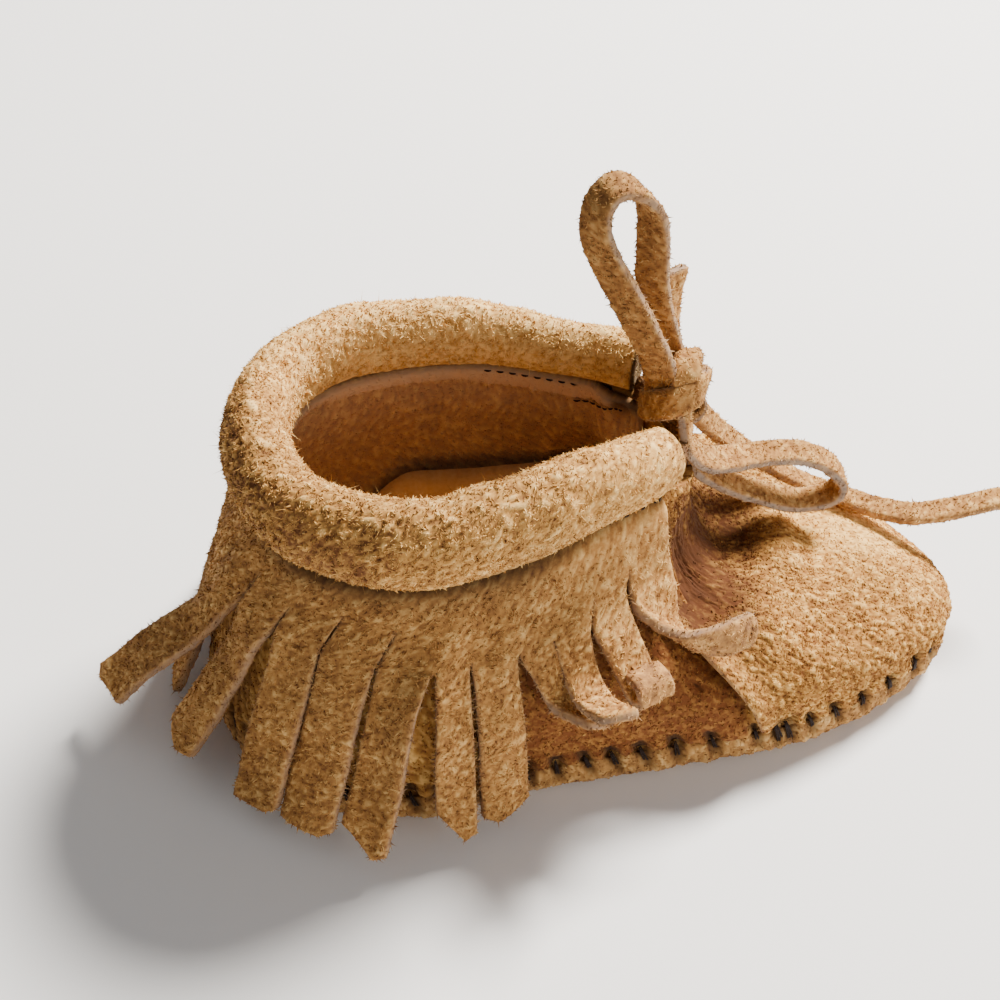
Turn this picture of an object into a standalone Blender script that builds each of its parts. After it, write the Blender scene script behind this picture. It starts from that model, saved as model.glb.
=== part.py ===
"""Fringed baby bootie: soft suede moccasin with a rolled collar, a fringed cuff and a thong lace.

Frame: metres, +Z up, toe along +X, the side with the curled front fringe is -Y.
Origin: the middle of the resting face, under the plan centre of the whole bootie.
All working sizes below are in millimetres, measured from a last axis that the part is shifted off at the end.
"""

import math

import bmesh
import bpy
import numpy as np
from mathutils import Vector
from mathutils.bvhtree import BVHTree

for leftover in list(bpy.data.objects):
    bpy.data.objects.remove(leftover, do_unlink=True)

MM = 0.001

# ---------------------------------------------------------------- driving sizes (mm)
SHIFT_X = 8.05  # last axis to plan centre of the whole part, fringe included
SHIFT_Y = -0.81
SUEDE = 1.8  # wall of the upper and rim
GAP = 0.3  # clearance between separate pieces
SOLE_FLOOR = 1.9  # thickness of the sole's floor
RIM_TOP = 7.0  # height of the turned-up rim of the sole
RIM_LEAN = 0.35  # how far the rim leans in at its top
TOE_SPRING = 1.5  # lift of the sole's edge at the toe tip
HEEL_SPRING = 0.6
SEAM_Z = 41.4  # top edge of the upper, under the collar roll
COLLAR_HALF_W = 5.3  # half thickness of the roll
COLLAR_HALF_H = 6.9  # half height of the roll
FRINGE_T = 1.7
BAND = 9.5  # uncut height of the fringe's cuff
STRIP_GAP = 0.45  # saw-cut between two strips at the cuff
THONG_D = 3.6  # round equivalent of the 5 x 2 mm thong
AROUND = 64  # stations around the foot

# Sole outline, a row per station along the foot.
# x along the foot, y of the near edge, y of the far edge
OUTLINE = (
    (-60.0, -3.5, -3.5),
    (-57.5, -14.5, 8.0),
    (-51.5, -24.0, 17.5),
    (-41.5, -31.0, 24.8),
    (-29.0, -33.0, 27.8),
    (-14.0, -30.4, 28.0),
    (1.0, -28.8, 28.6),
    (15.0, -27.6, 29.2),
    (28.0, -26.0, 28.3),
    (40.0, -22.4, 24.6),
    (50.0, -17.2, 16.6),
    (57.0, -11.6, 6.2),
    (60.0, -3.4, -3.4),
)

# Profile of the upper between the sole and its top edge, a row per height station.
# share of the way in, share of the way up, bulge outward in mm
TOE_ROWS = (
    (0.000, 0.000, 0.0),
    (0.000, 0.115, 0.0),
    (0.000, 0.165, 0.9),
    (0.012, 0.235, 1.3),
    (0.085, 0.310, 0.9),
    (0.215, 0.380, 0.4),
    (0.400, 0.445, 0.0),
    (0.600, 0.500, 0.0),
    (0.770, 0.505, 0.0),
    (0.900, 0.600, 0.0),
    (0.968, 0.790, 0.0),
    (1.000, 1.000, 0.0),
)
BALL_ROWS = (
    (0.000, 0.000, 0.0),
    (0.000, 0.115, 0.0),
    (0.000, 0.165, 1.2),
    (0.012, 0.260, 2.0),
    (0.095, 0.365, 1.9),
    (0.235, 0.450, 1.2),
    (0.400, 0.520, 0.5),
    (0.570, 0.580, 0.1),
    (0.730, 0.660, 0.0),
    (0.860, 0.770, 0.0),
    (0.950, 0.880, 0.0),
    (1.000, 1.000, 0.0),
)
QUARTER_ROWS = (
    (0.000, 0.000, 0.0),
    (0.000, 0.115, 0.0),
    (0.010, 0.165, 1.1),
    (0.030, 0.260, 1.9),
    (0.090, 0.370, 2.2),
    (0.190, 0.480, 2.1),
    (0.330, 0.590, 1.7),
    (0.490, 0.690, 1.2),
    (0.650, 0.780, 0.7),
    (0.800, 0.860, 0.3),
    (0.920, 0.935, 0.1),
    (1.000, 1.000, 0.0),
)
HEEL_ROWS = (
    (0.000, 0.000, 0.0),
    (0.000, 0.115, 0.0),
    (0.010, 0.165, 0.6),
    (0.040, 0.260, 1.0),
    (0.110, 0.370, 1.1),
    (0.220, 0.480, 1.0),
    (0.360, 0.590, 0.8),
    (0.510, 0.690, 0.6),
    (0.660, 0.780, 0.3),
    (0.800, 0.860, 0.1),
    (0.920, 0.935, 0.0),
    (1.000, 1.000, 0.0),
)
# Which profile the upper follows, by share of the way around from the toe tip (near side first).
PROFILE_AT = (
    (0.00, TOE_ROWS),
    (0.155, BALL_ROWS),
    (0.27, QUARTER_ROWS),
    (0.37, QUARTER_ROWS),
    (0.50, HEEL_ROWS),
    (0.63, QUARTER_ROWS),
    (0.73, QUARTER_ROWS),
    (0.845, BALL_ROWS),
    (1.00, TOE_ROWS),
)
# Top edge of the upper: share of the way around, x, y, z.
TOP_EDGE = (
    (0.00, 13.2, 0.0, 40.6),
    (0.08, 12.2, -5.2, 40.8),
    (0.14, 9.4, -9.0, 41.2),
    (0.20, 4.6, -12.2, SEAM_Z),
    (0.26, -5.6, -17.0, SEAM_Z),
    (0.32, -16.6, -20.8, SEAM_Z),
    (0.38, -30.0, -22.0, SEAM_Z),
    (0.44, -43.6, -15.2, SEAM_Z),
    (0.50, -49.2, 0.6, SEAM_Z),
    (0.56, -43.6, 16.2, SEAM_Z),
    (0.62, -30.0, 21.4, SEAM_Z),
    (0.68, -16.6, 21.4, SEAM_Z),
    (0.74, -5.6, 17.5, SEAM_Z),
    (0.80, 4.0, 12.6, SEAM_Z),
    (0.86, 9.2, 9.0, 41.2),
    (0.92, 12.2, 5.2, 40.8),
)
# Centre line of the collar roll from its near front end to its far front end:
# x, y, scale of the section
COLLAR_LINE = (
    (6.0, -10.0, 0.74),
    (1.6, -12.9, 0.84),
    (-5.6, -16.6, 0.92),
    (-16.0, -20.9, 0.98),
    (-28.0, -22.8, 1.00),
    (-38.0, -19.8, 1.00),
    (-45.8, -12.6, 0.96),
    (-50.0, 0.6, 0.93),
    (-46.6, 13.6, 0.90),
    (-38.4, 20.2, 0.86),
    (-28.0, 21.9, 0.83),
    (-16.0, 21.2, 0.77),
    (-4.6, 16.7, 0.67),
    (1.2, 14.1, 0.66),
    (6.2, 11.4, 0.68),
)
# How much higher than at the heel the top edge runs, by x: near side and far side
NEAR_RISE = (
    (-50.0, 0.0),
    (-45.0, 0.3),
    (-38.0, 1.0),
    (-28.0, 1.9),
    (-16.0, 3.3),
    (-5.0, 4.4),
    (6.0, 4.3),
    (9.4, 2.6),
    (12.2, 0.7),
    (13.2, 0.0),
)
FAR_RISE = (
    (-50.0, 0.0),
    (-45.0, 0.4),
    (-38.0, 1.2),
    (-28.0, 1.9),
    (-18.0, 2.4),
    (-5.0, 3.5),
    (2.0, 4.1),
    (6.5, 4.1),
    (9.4, 2.6),
    (12.2, 0.7),
    (13.2, 0.0),
)

# Fringe, a row per strip from the near front end round the heel to the far front end.
# width at the cuff and length below it (mm), lean out at the root, at the middle and at the tip (degrees from
# straight down), swing of the lean towards the toe (degrees), twist at the tip (degrees), slant of the cut tip (mm)
STRIPS = (
    (7.4, 24.0, 30, 62, 100, 58, 14, 1.5),
    (5.8, 20.0, 18, 30, 134, 4, 10, -1.0),
    (5.2, 21.0, 18, 28, 126, -4, -6, 1.0),
    (5.4, 20.5, 18, 26, 134, 14, -10, 1.2),
    (5.8, 30.0, 19, 13, 13, 11, 4, -1.8),
    (5.4, 30.5, 19, 19, 19, 9, -4, 1.8),
    (5.8, 31.0, 22, 25, 23, -6, 4, -2.0),
    (6.4, 30.5, 22, 24, 22, 0, -4, 2.0),
    (6.8, 30.5, 23, 25, 23, 13, 4, 1.6),
    (6.6, 30.0, 24, 30, 30, -14, -10, -1.2),
    (6.6, 32.0, 34, 46, 46, -8, -12, 1.0),
    (6.4, 30.0, 16, 15, 14, 0, 2, -1.2),
    (6.2, 30.0, 15, 15, 13, 0, -2, 1.4),
    (6.2, 30.0, 15, 17, 14, 4, 3, -1.4),
    (6.3, 30.0, 17, 19, 16, 5, -3, 1.6),
    (6.2, 30.0, 18, 21, 18, 4, 3, -1.6),
    (6.3, 30.5, 19, 22, 18, 2, -3, 1.8),
    (6.2, 30.5, 18, 22, 20, 0, 4, -1.4),
    (6.2, 30.0, 17, 21, 24, -2, -4, 1.2),
    (6.2, 29.0, 18, 22, 30, -2, 4, -1.2),
    (6.0, 26.0, 24, 36, 84, -4, 6, 1.0),
    (6.0, 24.5, 34, 48, 96, -6, -8, -1.0),
    (6.4, 24.5, 38, 50, 66, -8, 10, 1.2),
)


# ---------------------------------------------------------------- small tools
def smooth_line(points, count, closed):
    """Points spread evenly along a smooth curve through the given ones."""
    pts = np.asarray(points, float)
    n = len(pts)
    fine = []
    for i in range(n if closed else n - 1):
        b, c = pts[i], pts[(i + 1) % n]
        a = pts[i - 1] if closed or i > 0 else 2 * b - c
        d = pts[(i + 2) % n] if closed or i + 2 < n else 2 * c - b
        for t in np.linspace(0, 1, 24, endpoint=False):
            fine.append(
                0.5
                * (
                    2 * b
                    + (c - a) * t
                    + (2 * a - 5 * b + 4 * c - d) * t * t
                    + (3 * b - a - 3 * c + d) * t**3
                )
            )
    fine.append(pts[0] if closed else pts[-1])
    fine = np.array(fine)
    steps = np.linalg.norm(np.diff(fine[:, :2], axis=0), axis=1)
    run = np.concatenate([[0.0], np.cumsum(steps)])
    want = np.linspace(0, run[-1], count + 1 if closed else count)
    line = np.stack([np.interp(want, run, fine[:, k]) for k in range(pts.shape[1])], 1)
    return line[:-1] if closed else line


def outward(line, closed=True):
    """Outward unit normals, in plan, of a line that runs clockwise seen from above."""
    if closed:
        along = np.roll(line, -1, 0) - np.roll(line, 1, 0)
    else:
        along = np.gradient(line, axis=0)
    n = np.stack([along[:, 1], -along[:, 0]], 1)
    n /= np.linalg.norm(n, axis=1)[:, None]
    return -n


def ease(t):
    t = min(max(t, 0.0), 1.0)
    return t * t * (3 - 2 * t)


def mesh_object(name, points, faces, smooth=True):
    mesh = bpy.data.meshes.new(name)
    mesh.from_pydata(
        [
            ((x + SHIFT_X) * MM, (y + SHIFT_Y) * MM, z * MM)
            for x, y, z in np.asarray(points, float).tolist()
        ],
        [],
        faces,
    )
    bm = bmesh.new()
    bm.from_mesh(mesh)
    bmesh.ops.recalc_face_normals(bm, faces=bm.faces[:])
    bm.to_mesh(mesh)
    bm.free()
    for f in mesh.polygons:
        f.use_smooth = smooth
    obj = bpy.data.objects.new(name, mesh)
    part.objects.link(obj)
    return obj


def paint(obj, colour, rough):
    mat = bpy.data.materials.new(obj.name)
    mat.use_nodes = True
    skin = mat.node_tree.nodes["Principled BSDF"]
    skin.inputs["Base Color"].default_value = (*colour, 1)
    skin.inputs["Roughness"].default_value = rough
    obj.data.materials.clear()
    obj.data.materials.append(mat)


def rings_solid(name, rings, cap_first=True, cap_last=True, joined=False):
    """A solid from closed rings of equal count; joined closes the last ring on the first."""
    rings = [np.asarray(r, float) for r in rings]
    n = len(rings[0])
    points = np.concatenate(rings)
    faces = []
    pairs = [(i, i + 1) for i in range(len(rings) - 1)]
    if joined:
        pairs.append((len(rings) - 1, 0))
    for a, b in pairs:
        for k in range(n):
            m = (k + 1) % n
            faces.append((a * n + k, a * n + m, b * n + m, b * n + k))
    if not joined and cap_first:
        faces.append(tuple(range(n)))
    if not joined and cap_last:
        last = (len(rings) - 1) * n
        faces.append(tuple(range(last + n - 1, last - 1, -1)))
    return mesh_object(name, points, faces)


part = bpy.data.collections.new("fringed_baby_bootie")
bpy.context.scene.collection.children.link(part)

# ---------------------------------------------------------------- the last's plan
TAN = (0.52, 0.335, 0.155)
near_edge = [(x, n) for x, n, f in OUTLINE]
far_edge = [(x, f) for x, n, f in OUTLINE]
# toe tip first, then the near side back to the heel, then the far side forward
plan = smooth_line(near_edge[::-1] + far_edge[1:-1], AROUND, True)
# start the run exactly at the toe tip
plan_out = outward(plan)
if (plan_out[0][0]) < 0:
    plan_out = -plan_out


def plan_inset(inset):
    return plan - plan_out * inset


def spring(xy):
    """Lift of the sole's edge by place along the foot."""
    return TOE_SPRING * ease((xy[0] - 42.0) / 18.0) + HEEL_SPRING * ease(
        (-48.0 - xy[0]) / 12.0
    )


# ---------------------------------------------------------------- sole: a tray with a turned-up rim
def sole_ring(inset, z, lifted=1.0):
    ring = plan_inset(inset)
    return [(p[0], p[1], z + lifted * spring(p)) for p in ring]


sole_rings = [
    sole_ring(5.5, 0.0, 0.0),
    sole_ring(2.6, 0.12, 0.55),
    sole_ring(1.0, 0.75, 0.9),
    sole_ring(0.15, 2.0),
    sole_ring(0.0, 3.6),
    sole_ring(RIM_LEAN * 0.4, 5.4),
    sole_ring(RIM_LEAN, RIM_TOP),
    sole_ring(RIM_LEAN + SUEDE, RIM_TOP),
    sole_ring(SUEDE + 0.1, 4.6),
    sole_ring(SUEDE + 0.15, 2.5),
    sole_ring(3.0, SOLE_FLOOR + 0.1, 0.55),
    sole_ring(6.5, SOLE_FLOOR, 0.0),
]
sole = rings_solid("sole", sole_rings)
paint(sole, TAN, 0.95)


# ---------------------------------------------------------------- upper: one hollow shell
def blend_rows(share):
    for (a, rows_a), (b, rows_b) in zip(PROFILE_AT, PROFILE_AT[1:]):
        if a <= share <= b:
            t = ease((share - a) / (b - a))
            return (1 - t) * np.array(rows_a) + t * np.array(rows_b)
    return np.array(TOE_ROWS)


def top_point(share):
    rows = TOP_EDGE + ((1.0, *TOP_EDGE[0][1:]),)
    at = np.array([r[0] for r in rows])
    pts = np.array([r[1:] for r in rows])
    k = min(max(int(np.searchsorted(at, share, side="right")) - 1, 0), len(at) - 2)
    t = (share - at[k]) / (at[k + 1] - at[k])
    p0 = pts[k - 1] if k > 0 else pts[-2]
    p1, p2 = pts[k], pts[k + 1]
    p3 = pts[k + 2] if k + 2 < len(pts) else pts[1]
    return 0.5 * (
        2 * p1
        + (p2 - p0) * t
        + (2 * p0 - 5 * p1 + 4 * p2 - p3) * t * t
        + (3 * p1 - p0 - 3 * p2 + p3) * t**3
    )


def rise_at(x, y):
    """How much higher than at the heel the upper's top edge runs there."""
    table = NEAR_RISE if y < 0 else FAR_RISE
    return float(np.interp(x, [r[0] for r in table], [r[1] for r in table]))


LAP_INSET = RIM_LEAN + SUEDE + GAP  # outer face of the upper, inside the rim
LAP_Z = SOLE_FLOOR + GAP + 0.35


def upper_meridian(k):
    """Points of the outer face from the sole to the top edge at station k."""
    share = k / AROUND
    out = plan_out[k]
    foot = plan[k] - out * LAP_INSET
    lift = spring(plan[k])
    top = top_point(share)
    rows = blend_rows(share)
    pts = []
    for s, up, bulge in rows:
        xy = foot + s * (top[:2] - foot) + out * bulge
        z = LAP_Z + lift + up * (top[2] - LAP_Z - lift)
        z += rise_at(top[0], top[1]) * ease((up - 0.8) / 0.2)
        pts.append((xy[0], xy[1], z))
    return np.array(pts)


outer = np.array([upper_meridian(k) for k in range(AROUND)])  # stations, rows, xyz


def face_normals(grid):
    around = np.roll(grid, -1, 0) - np.roll(grid, 1, 0)
    up = np.gradient(grid, axis=1)
    n = np.cross(around, up)
    n /= np.linalg.norm(n, axis=2)[..., None]
    mid = grid.mean((0, 1))
    if ((grid - mid) * n).sum() < 0:
        n = -n
    return n


outer_n = face_normals(outer)
# the lap that stands inside the rim keeps a level foot
lap_n = outer_n.copy()
lap_n[:, 0, 2] = 0
lap_n[:, 1, 2] = 0
lap_n[:, -1, 2] *= 0.2
lap_n /= np.linalg.norm(lap_n, axis=2)[..., None]
inner = outer - lap_n * SUEDE
inner[:, 0, 2] = outer[:, 0, 2]
inner[:, -1, 2] = outer[:, -1, 2]
rows = [outer[:, r] for r in range(outer.shape[1])] + [
    inner[:, r] for r in range(outer.shape[1] - 1, -1, -1)
]
upper = rings_solid("upper", rows, joined=True)
paint(upper, TAN, 0.95)

# ---------------------------------------------------------------- insole: a loose pad
INSOLE_T = 1.6
CURL = 13.0  # how far the far edge of the pad has ridden up the wall
INSOLE_CLEAR = LAP_INSET + SUEDE + 0.7


def insole_ring(inset, z, curl):
    ring = plan_inset(INSOLE_CLEAR)
    # deeper rings draw in towards a line down the middle of the foot
    spine = np.stack([np.clip(ring[:, 0], -30.0, 34.0), np.full(AROUND, -2.0)], 1)
    reach = spine - ring
    ring = ring + reach * ((inset - INSOLE_CLEAR) / np.linalg.norm(reach, axis=1))[:, None]
    out = []
    for p in ring:
        # the far edge of the pad has curled up against the wall
        rise = CURL * ease((p[1] - 4.0) / 19.0) * ease((33.0 - abs(p[0] + 12.0)) / 20.0)
        out.append((p[0], p[1], z + rise * curl + spring(p) * curl))
    return out


pad_low = SOLE_FLOOR + 0.35
insole_rings = [
    insole_ring(INSOLE_CLEAR + 14, pad_low, 0.0),
    insole_ring(INSOLE_CLEAR + 6, pad_low, 0.35),
    insole_ring(INSOLE_CLEAR + 0.4, pad_low + 0.1, 1.0),
    insole_ring(INSOLE_CLEAR, pad_low + INSOLE_T * 0.5, 1.0),
    insole_ring(INSOLE_CLEAR + 0.4, pad_low + INSOLE_T - 0.1, 1.0),
    insole_ring(INSOLE_CLEAR + 6, pad_low + INSOLE_T, 0.35),
    insole_ring(INSOLE_CLEAR + 14, pad_low + INSOLE_T, 0.0),
]
insole = rings_solid("insole", insole_rings)
paint(insole, (0.58, 0.40, 0.22), 0.95)

# ---------------------------------------------------------------- collar: a padded roll, open at the front
COLLAR_STEPS = 50
COLLAR_SIDES = 14
collar_line = smooth_line(COLLAR_LINE, COLLAR_STEPS, False)
collar_out = outward(collar_line[:, :2], closed=False)
if (collar_out[COLLAR_STEPS // 2][0]) > 0:
    collar_out = -collar_out


def collar_section(k, scale, slide):
    x, y, s = collar_line[k]
    n = collar_out[k]
    along = np.array([-n[1], n[0]])
    rise = rise_at(x, y)
    ring = []
    for j in range(COLLAR_SIDES):
        a = 2 * math.pi * j / COLLAR_SIDES
        r = COLLAR_HALF_W * s * scale * math.cos(a)
        z = SEAM_Z + GAP + rise + COLLAR_HALF_H * s * (1.0 + scale * math.sin(a))
        p = np.array([x, y]) + n * r + along * slide
        ring.append((p[0], p[1], z))
    return ring


ends = ((0, 1.0), (COLLAR_STEPS - 1, -1.0))


def toeward(k):
    n = collar_out[k]
    along = np.array([-n[1], n[0]])
    return 1.0 if along[0] > 0 else -1.0


collar_rings = [
    collar_section(0, 0.55, 1.1 * toeward(0)),
    collar_section(0, 0.86, 0.8 * toeward(0)),
]
collar_rings += [collar_section(k, 1.0, 0.0) for k in range(COLLAR_STEPS)]
collar_rings += [
    collar_section(COLLAR_STEPS - 1, 0.86, 0.8 * toeward(COLLAR_STEPS - 1)),
    collar_section(COLLAR_STEPS - 1, 0.55, 1.1 * toeward(COLLAR_STEPS - 1)),
]
collar = rings_solid("collar", collar_rings)
paint(collar, (0.60, 0.41, 0.20), 0.95)


# ---------------------------------------------------------------- fringe: a cuff cut into strips
def strip_line(row, root, out, span, steps):
    """Centre line and width direction of one strip, from the cuff to its tip."""
    _, length, lean0, lean1, lean2, swing, twist, _ = row
    toe = np.array([-out[1], out[0], 0.0])
    if toe[0] < 0:
        toe = -toe
    turn = math.radians(swing)
    lean_dir = np.array([out[0], out[1], 0.0]) * math.cos(turn) + toe * math.sin(turn)
    p = np.array(root, float)
    line, wide, flat = [p.copy()], [], []
    for j in range(steps + 1):
        t = j / steps
        lean = math.radians(
            lean0 + (lean1 - lean0) * ease(t * 2)
            if t < 0.5
            else lean1 + (lean2 - lean1) * ease(t * 2 - 1)
        )
        way = lean_dir * math.sin(lean) + np.array([0, 0, -math.cos(lean)])
        side = np.cross(way, lean_dir * math.cos(lean) + np.array([0, 0, math.sin(lean)]))
        side /= np.linalg.norm(side)
        if side @ np.array([span[0], span[1], 0]) < 0:
            side = -side
        face = np.cross(side, way)
        face /= np.linalg.norm(face)
        if face @ np.array([out[0], out[1], 0.0]) < 0 and lean < math.radians(60):
            face = -face
        w = math.radians(twist) * t
        wide.append(side * math.cos(w) + np.cross(way, side) * math.sin(w))
        flat.append(way)
        if j < steps:
            p = p + way * length / steps
            line.append(p.copy())
    return np.array(line), np.array(wide), np.array(flat)


FIRST, LAST = 0.190, 0.812  # shares of the way around where the cuff starts and ends


def shell_point(share, z):
    """Point and outward normal of the upper's outer face at a share of the way around and a height."""
    k = share * AROUND
    a, b = int(math.floor(k)) % AROUND, (int(math.floor(k)) + 1) % AROUND
    t = k - math.floor(k)
    col = (1 - t) * outer[a] + t * outer[b]
    nor = (1 - t) * outer_n[a] + t * outer_n[b]
    zs = col[:, 2]
    p = np.array([np.interp(z, zs, col[:, 0]), np.interp(z, zs, col[:, 1]), z])
    n = np.array([np.interp(z, zs, nor[:, i]) for i in range(3)])
    n /= np.linalg.norm(n)
    return p, n


skin_faces = [
    (
        k * outer.shape[1] + r,
        ((k + 1) % AROUND) * outer.shape[1] + r,
        ((k + 1) % AROUND) * outer.shape[1] + r + 1,
        k * outer.shape[1] + r + 1,
    )
    for k in range(AROUND)
    for r in range(outer.shape[1] - 1)
]
skin_tree = BVHTree.FromPolygons([tuple(p) for p in outer.reshape(-1, 3)], skin_faces)
middle = Vector((-5.0, 0.0, 15.0))


def push_off(p, need):
    """How far a point has to move, and which way, to stand that far outside the upper's outer face."""
    place, normal, _, _ = skin_tree.find_nearest(Vector(p))
    if normal.dot(place - middle) < 0:
        normal = -normal
    away = (Vector(p) - place).dot(normal)
    return max(0.0, need - away), np.array(normal)


N_STRIPS = len(STRIPS)
shares = np.linspace(FIRST, LAST, 400)
track = np.array([shell_point(s, SEAM_Z - 2.0)[0] for s in shares])
run = np.concatenate([[0], np.cumsum(np.linalg.norm(np.diff(track, axis=0), axis=1))])
CUFF_LENGTH = run[-1]
widths = np.array([row[0] for row in STRIPS])
CUTS = np.concatenate([[0.0], np.cumsum(widths)]) * CUFF_LENGTH / widths.sum()
BAND_ROWS = 3
STRIP_ROWS = 8


def share_at(distance):
    return float(np.interp(distance, run, shares))


points, faces = [], []


def add(p):
    points.append(tuple(p))
    return len(points) - 1


def cuff_point(distance, down, out_by):
    """Point of the cuff's face a distance along it and down from its top edge."""
    share = share_at(distance)
    top = top_point(share)
    z = SEAM_Z - 0.15 - down + rise_at(top[0], top[1]) * (1.0 - ease(down / 4.5))
    p, n = shell_point(share, z)
    flare = 0.14 * down  # the cuff stands off the wall more and more
    flat = np.array([n[0], n[1], 0.0])
    flat /= np.linalg.norm(flat)
    return p + flat * (GAP / max(math.hypot(n[0], n[1]), 0.5) + 0.1 + flare + out_by)


def vertex_pair(p_in, p_out):
    return add(p_in), add(p_out)


cols = []  # for each strip, three columns of (inner, outer) vertex rows
for i in range(N_STRIPS):
    d0, d1 = CUTS[i], CUTS[i + 1]
    here = []
    for c, share_across in enumerate((0.0, 0.5, 1.0)):
        d = d0 + (d1 - d0) * share_across
        column = []
        for r in range(BAND_ROWS + 1):
            down = BAND * r / BAND_ROWS
            cut = STRIP_GAP / 2 if r == BAND_ROWS else 0.0
            dd = d + (cut if c == 0 and i > 0 else 0) - (cut if c == 2 and i < N_STRIPS - 1 else 0)
            column.append((dd, down))
        here.append(column)
    cols.append(here)

band_index = {}
grid_rows = []


def band_vertex(i, c, r):
    """Shared vertices of the uncut cuff; the cut's ends are the strips' own."""
    key = (i, c, r)
    if r < BAND_ROWS and c == 2 and i < N_STRIPS - 1:
        key = (i + 1, 0, r)
    if key not in band_index:
        dd, down = cols[key[0]][key[1]][r]
        band_index[key] = vertex_pair(cuff_point(dd, down, 0.0), cuff_point(dd, down, FRINGE_T))
    return band_index[key]


strip_index = {}
for i, row in enumerate(STRIPS):
    left = cuff_point(CUTS[i] + STRIP_GAP / 2, BAND, FRINGE_T / 2)
    right = cuff_point(CUTS[i + 1] - STRIP_GAP / 2, BAND, FRINGE_T / 2)
    span = right - left
    width = np.linalg.norm(span)
    span = span / width
    _, n = shell_point(share_at((CUTS[i] + CUTS[i + 1]) / 2), SEAM_Z - BAND)
    out = np.array([n[0], n[1]]) / math.hypot(n[0], n[1])
    root = (left + right) / 2
    line, wide, way = strip_line(row, root, out, span[:2], STRIP_ROWS)
    cut = row[7]
    for _ in range(3):  # a strip that meets the upper lies on it
        for r in range(1, STRIP_ROWS + 1):
            moves = [
                push_off(line[r] + wide[r] * across * width, FRINGE_T / 2 + 2.2 * GAP)
                for across in (-0.5, -0.25, 0.0, 0.25, 0.5)
            ]
            most, normal = max(moves, key=lambda m: m[0])
            line[r] = line[r] + normal * most
    for r in range(1, STRIP_ROWS + 1):
        face = np.cross(wide[r], way[r])
        face /= np.linalg.norm(face)
        first_face = np.array([out[0], out[1], 0.0])
        if r == 1:
            sign = 1.0 if face @ first_face > 0 else -1.0
        face = face * sign
        for c, across in enumerate((-0.5, 0.0, 0.5)):
            w = width * (1.0 - (0.10 if r == STRIP_ROWS else 0.0))
            p = line[r] + wide[r] * across * w
            if r == STRIP_ROWS:
                toe_side = 1.0 if wide[r][0] > 0 else -1.0
                p = p + way[r] * cut * (across * 2) * toe_side
            strip_index[(i, c, r)] = vertex_pair(p - face * FRINGE_T / 2, p + face * FRINGE_T / 2)


def vertex(i, c, r):
    return band_vertex(i, c, r) if r <= BAND_ROWS else strip_index[(i, c, r - BAND_ROWS)]


quads = []
for i in range(N_STRIPS):
    for c in range(2):
        for r in range(BAND_ROWS + STRIP_ROWS):
            quads.append(
                (vertex(i, c, r), vertex(i, c + 1, r), vertex(i, c + 1, r + 1), vertex(i, c, r + 1))
            )
edge_count = {}
for q in quads:
    for a, b in zip(q, q[1:] + q[:1]):
        edge_count[(a, b)] = edge_count.get((a, b), 0) + 1
for q in quads:
    faces.append(tuple(v[1] for v in q))
    faces.append(tuple(v[0] for v in reversed(q)))
    for a, b in zip(q, q[1:] + q[:1]):
        if (b, a) not in edge_count:
            faces.append((a[1], a[0], b[0], b[1]))
fringe = mesh_object("fringe", points, faces, smooth=True)
paint(fringe, (0.50, 0.31, 0.14), 0.95)


# ---------------------------------------------------------------- lace
def cord(name, route, diameter, count):
    line = smooth_line3(route, count)
    curve = bpy.data.curves.new(name, "CURVE")
    curve.dimensions = "3D"
    curve.bevel_depth = diameter / 2 * MM
    curve.bevel_resolution = 2
    curve.use_fill_caps = True
    spline = curve.splines.new("POLY")
    spline.points.add(len(line) - 1)
    for point, (x, y, z) in zip(spline.points, line):
        point.co = ((x + SHIFT_X) * MM, (y + SHIFT_Y) * MM, z * MM, 1)
    tube = bpy.data.objects.new(name + "_curve", curve)
    part.objects.link(tube)
    bpy.context.view_layer.update()
    mesh = bpy.data.meshes.new_from_object(
        tube.evaluated_get(bpy.context.evaluated_depsgraph_get())
    )
    bpy.data.objects.remove(tube, do_unlink=True)
    bm = bmesh.new()
    bm.from_mesh(mesh)
    bmesh.ops.remove_doubles(bm, verts=bm.verts[:], dist=1e-6)
    bmesh.ops.recalc_face_normals(bm, faces=bm.faces[:])
    bm.to_mesh(mesh)
    bm.free()
    mesh.name = name
    for f in mesh.polygons:
        f.use_smooth = True
    obj = bpy.data.objects.new(name, mesh)
    part.objects.link(obj)
    return obj


def smooth_line3(route, count):
    pts = np.asarray(route, float)
    n = len(pts)
    fine = []
    for i in range(n - 1):
        b, c = pts[i], pts[i + 1]
        a = pts[i - 1] if i > 0 else 2 * b - c
        d = pts[i + 2] if i + 2 < n else 2 * c - b
        for t in np.linspace(0, 1, 16, endpoint=False):
            fine.append(
                0.5
                * (
                    2 * b
                    + (c - a) * t
                    + (2 * a - 5 * b + 4 * c - d) * t * t
                    + (3 * b - a - 3 * c + d) * t**3
                )
            )
    fine.append(pts[-1])
    fine = np.array(fine)
    run_3 = np.concatenate([[0], np.cumsum(np.linalg.norm(np.diff(fine, axis=0), axis=1))])
    want = np.linspace(0, run_3[-1], count)
    return np.stack([np.interp(want, run_3, fine[:, k]) for k in range(3)], 1)


LACE_COLOUR = (0.47, 0.29, 0.14)
# the strand that crosses the throat between the two ends of the collar roll
BAR = ((8.6, -8.2, 48.6), (10.2, -4.0, 49.9), (10.2, 3.0, 50.4), (7.4, 9.0, 49.6))
bar = cord("lace_bar", BAR, THONG_D, 8)
paint(bar, LACE_COLOUR, 0.95)
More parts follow.
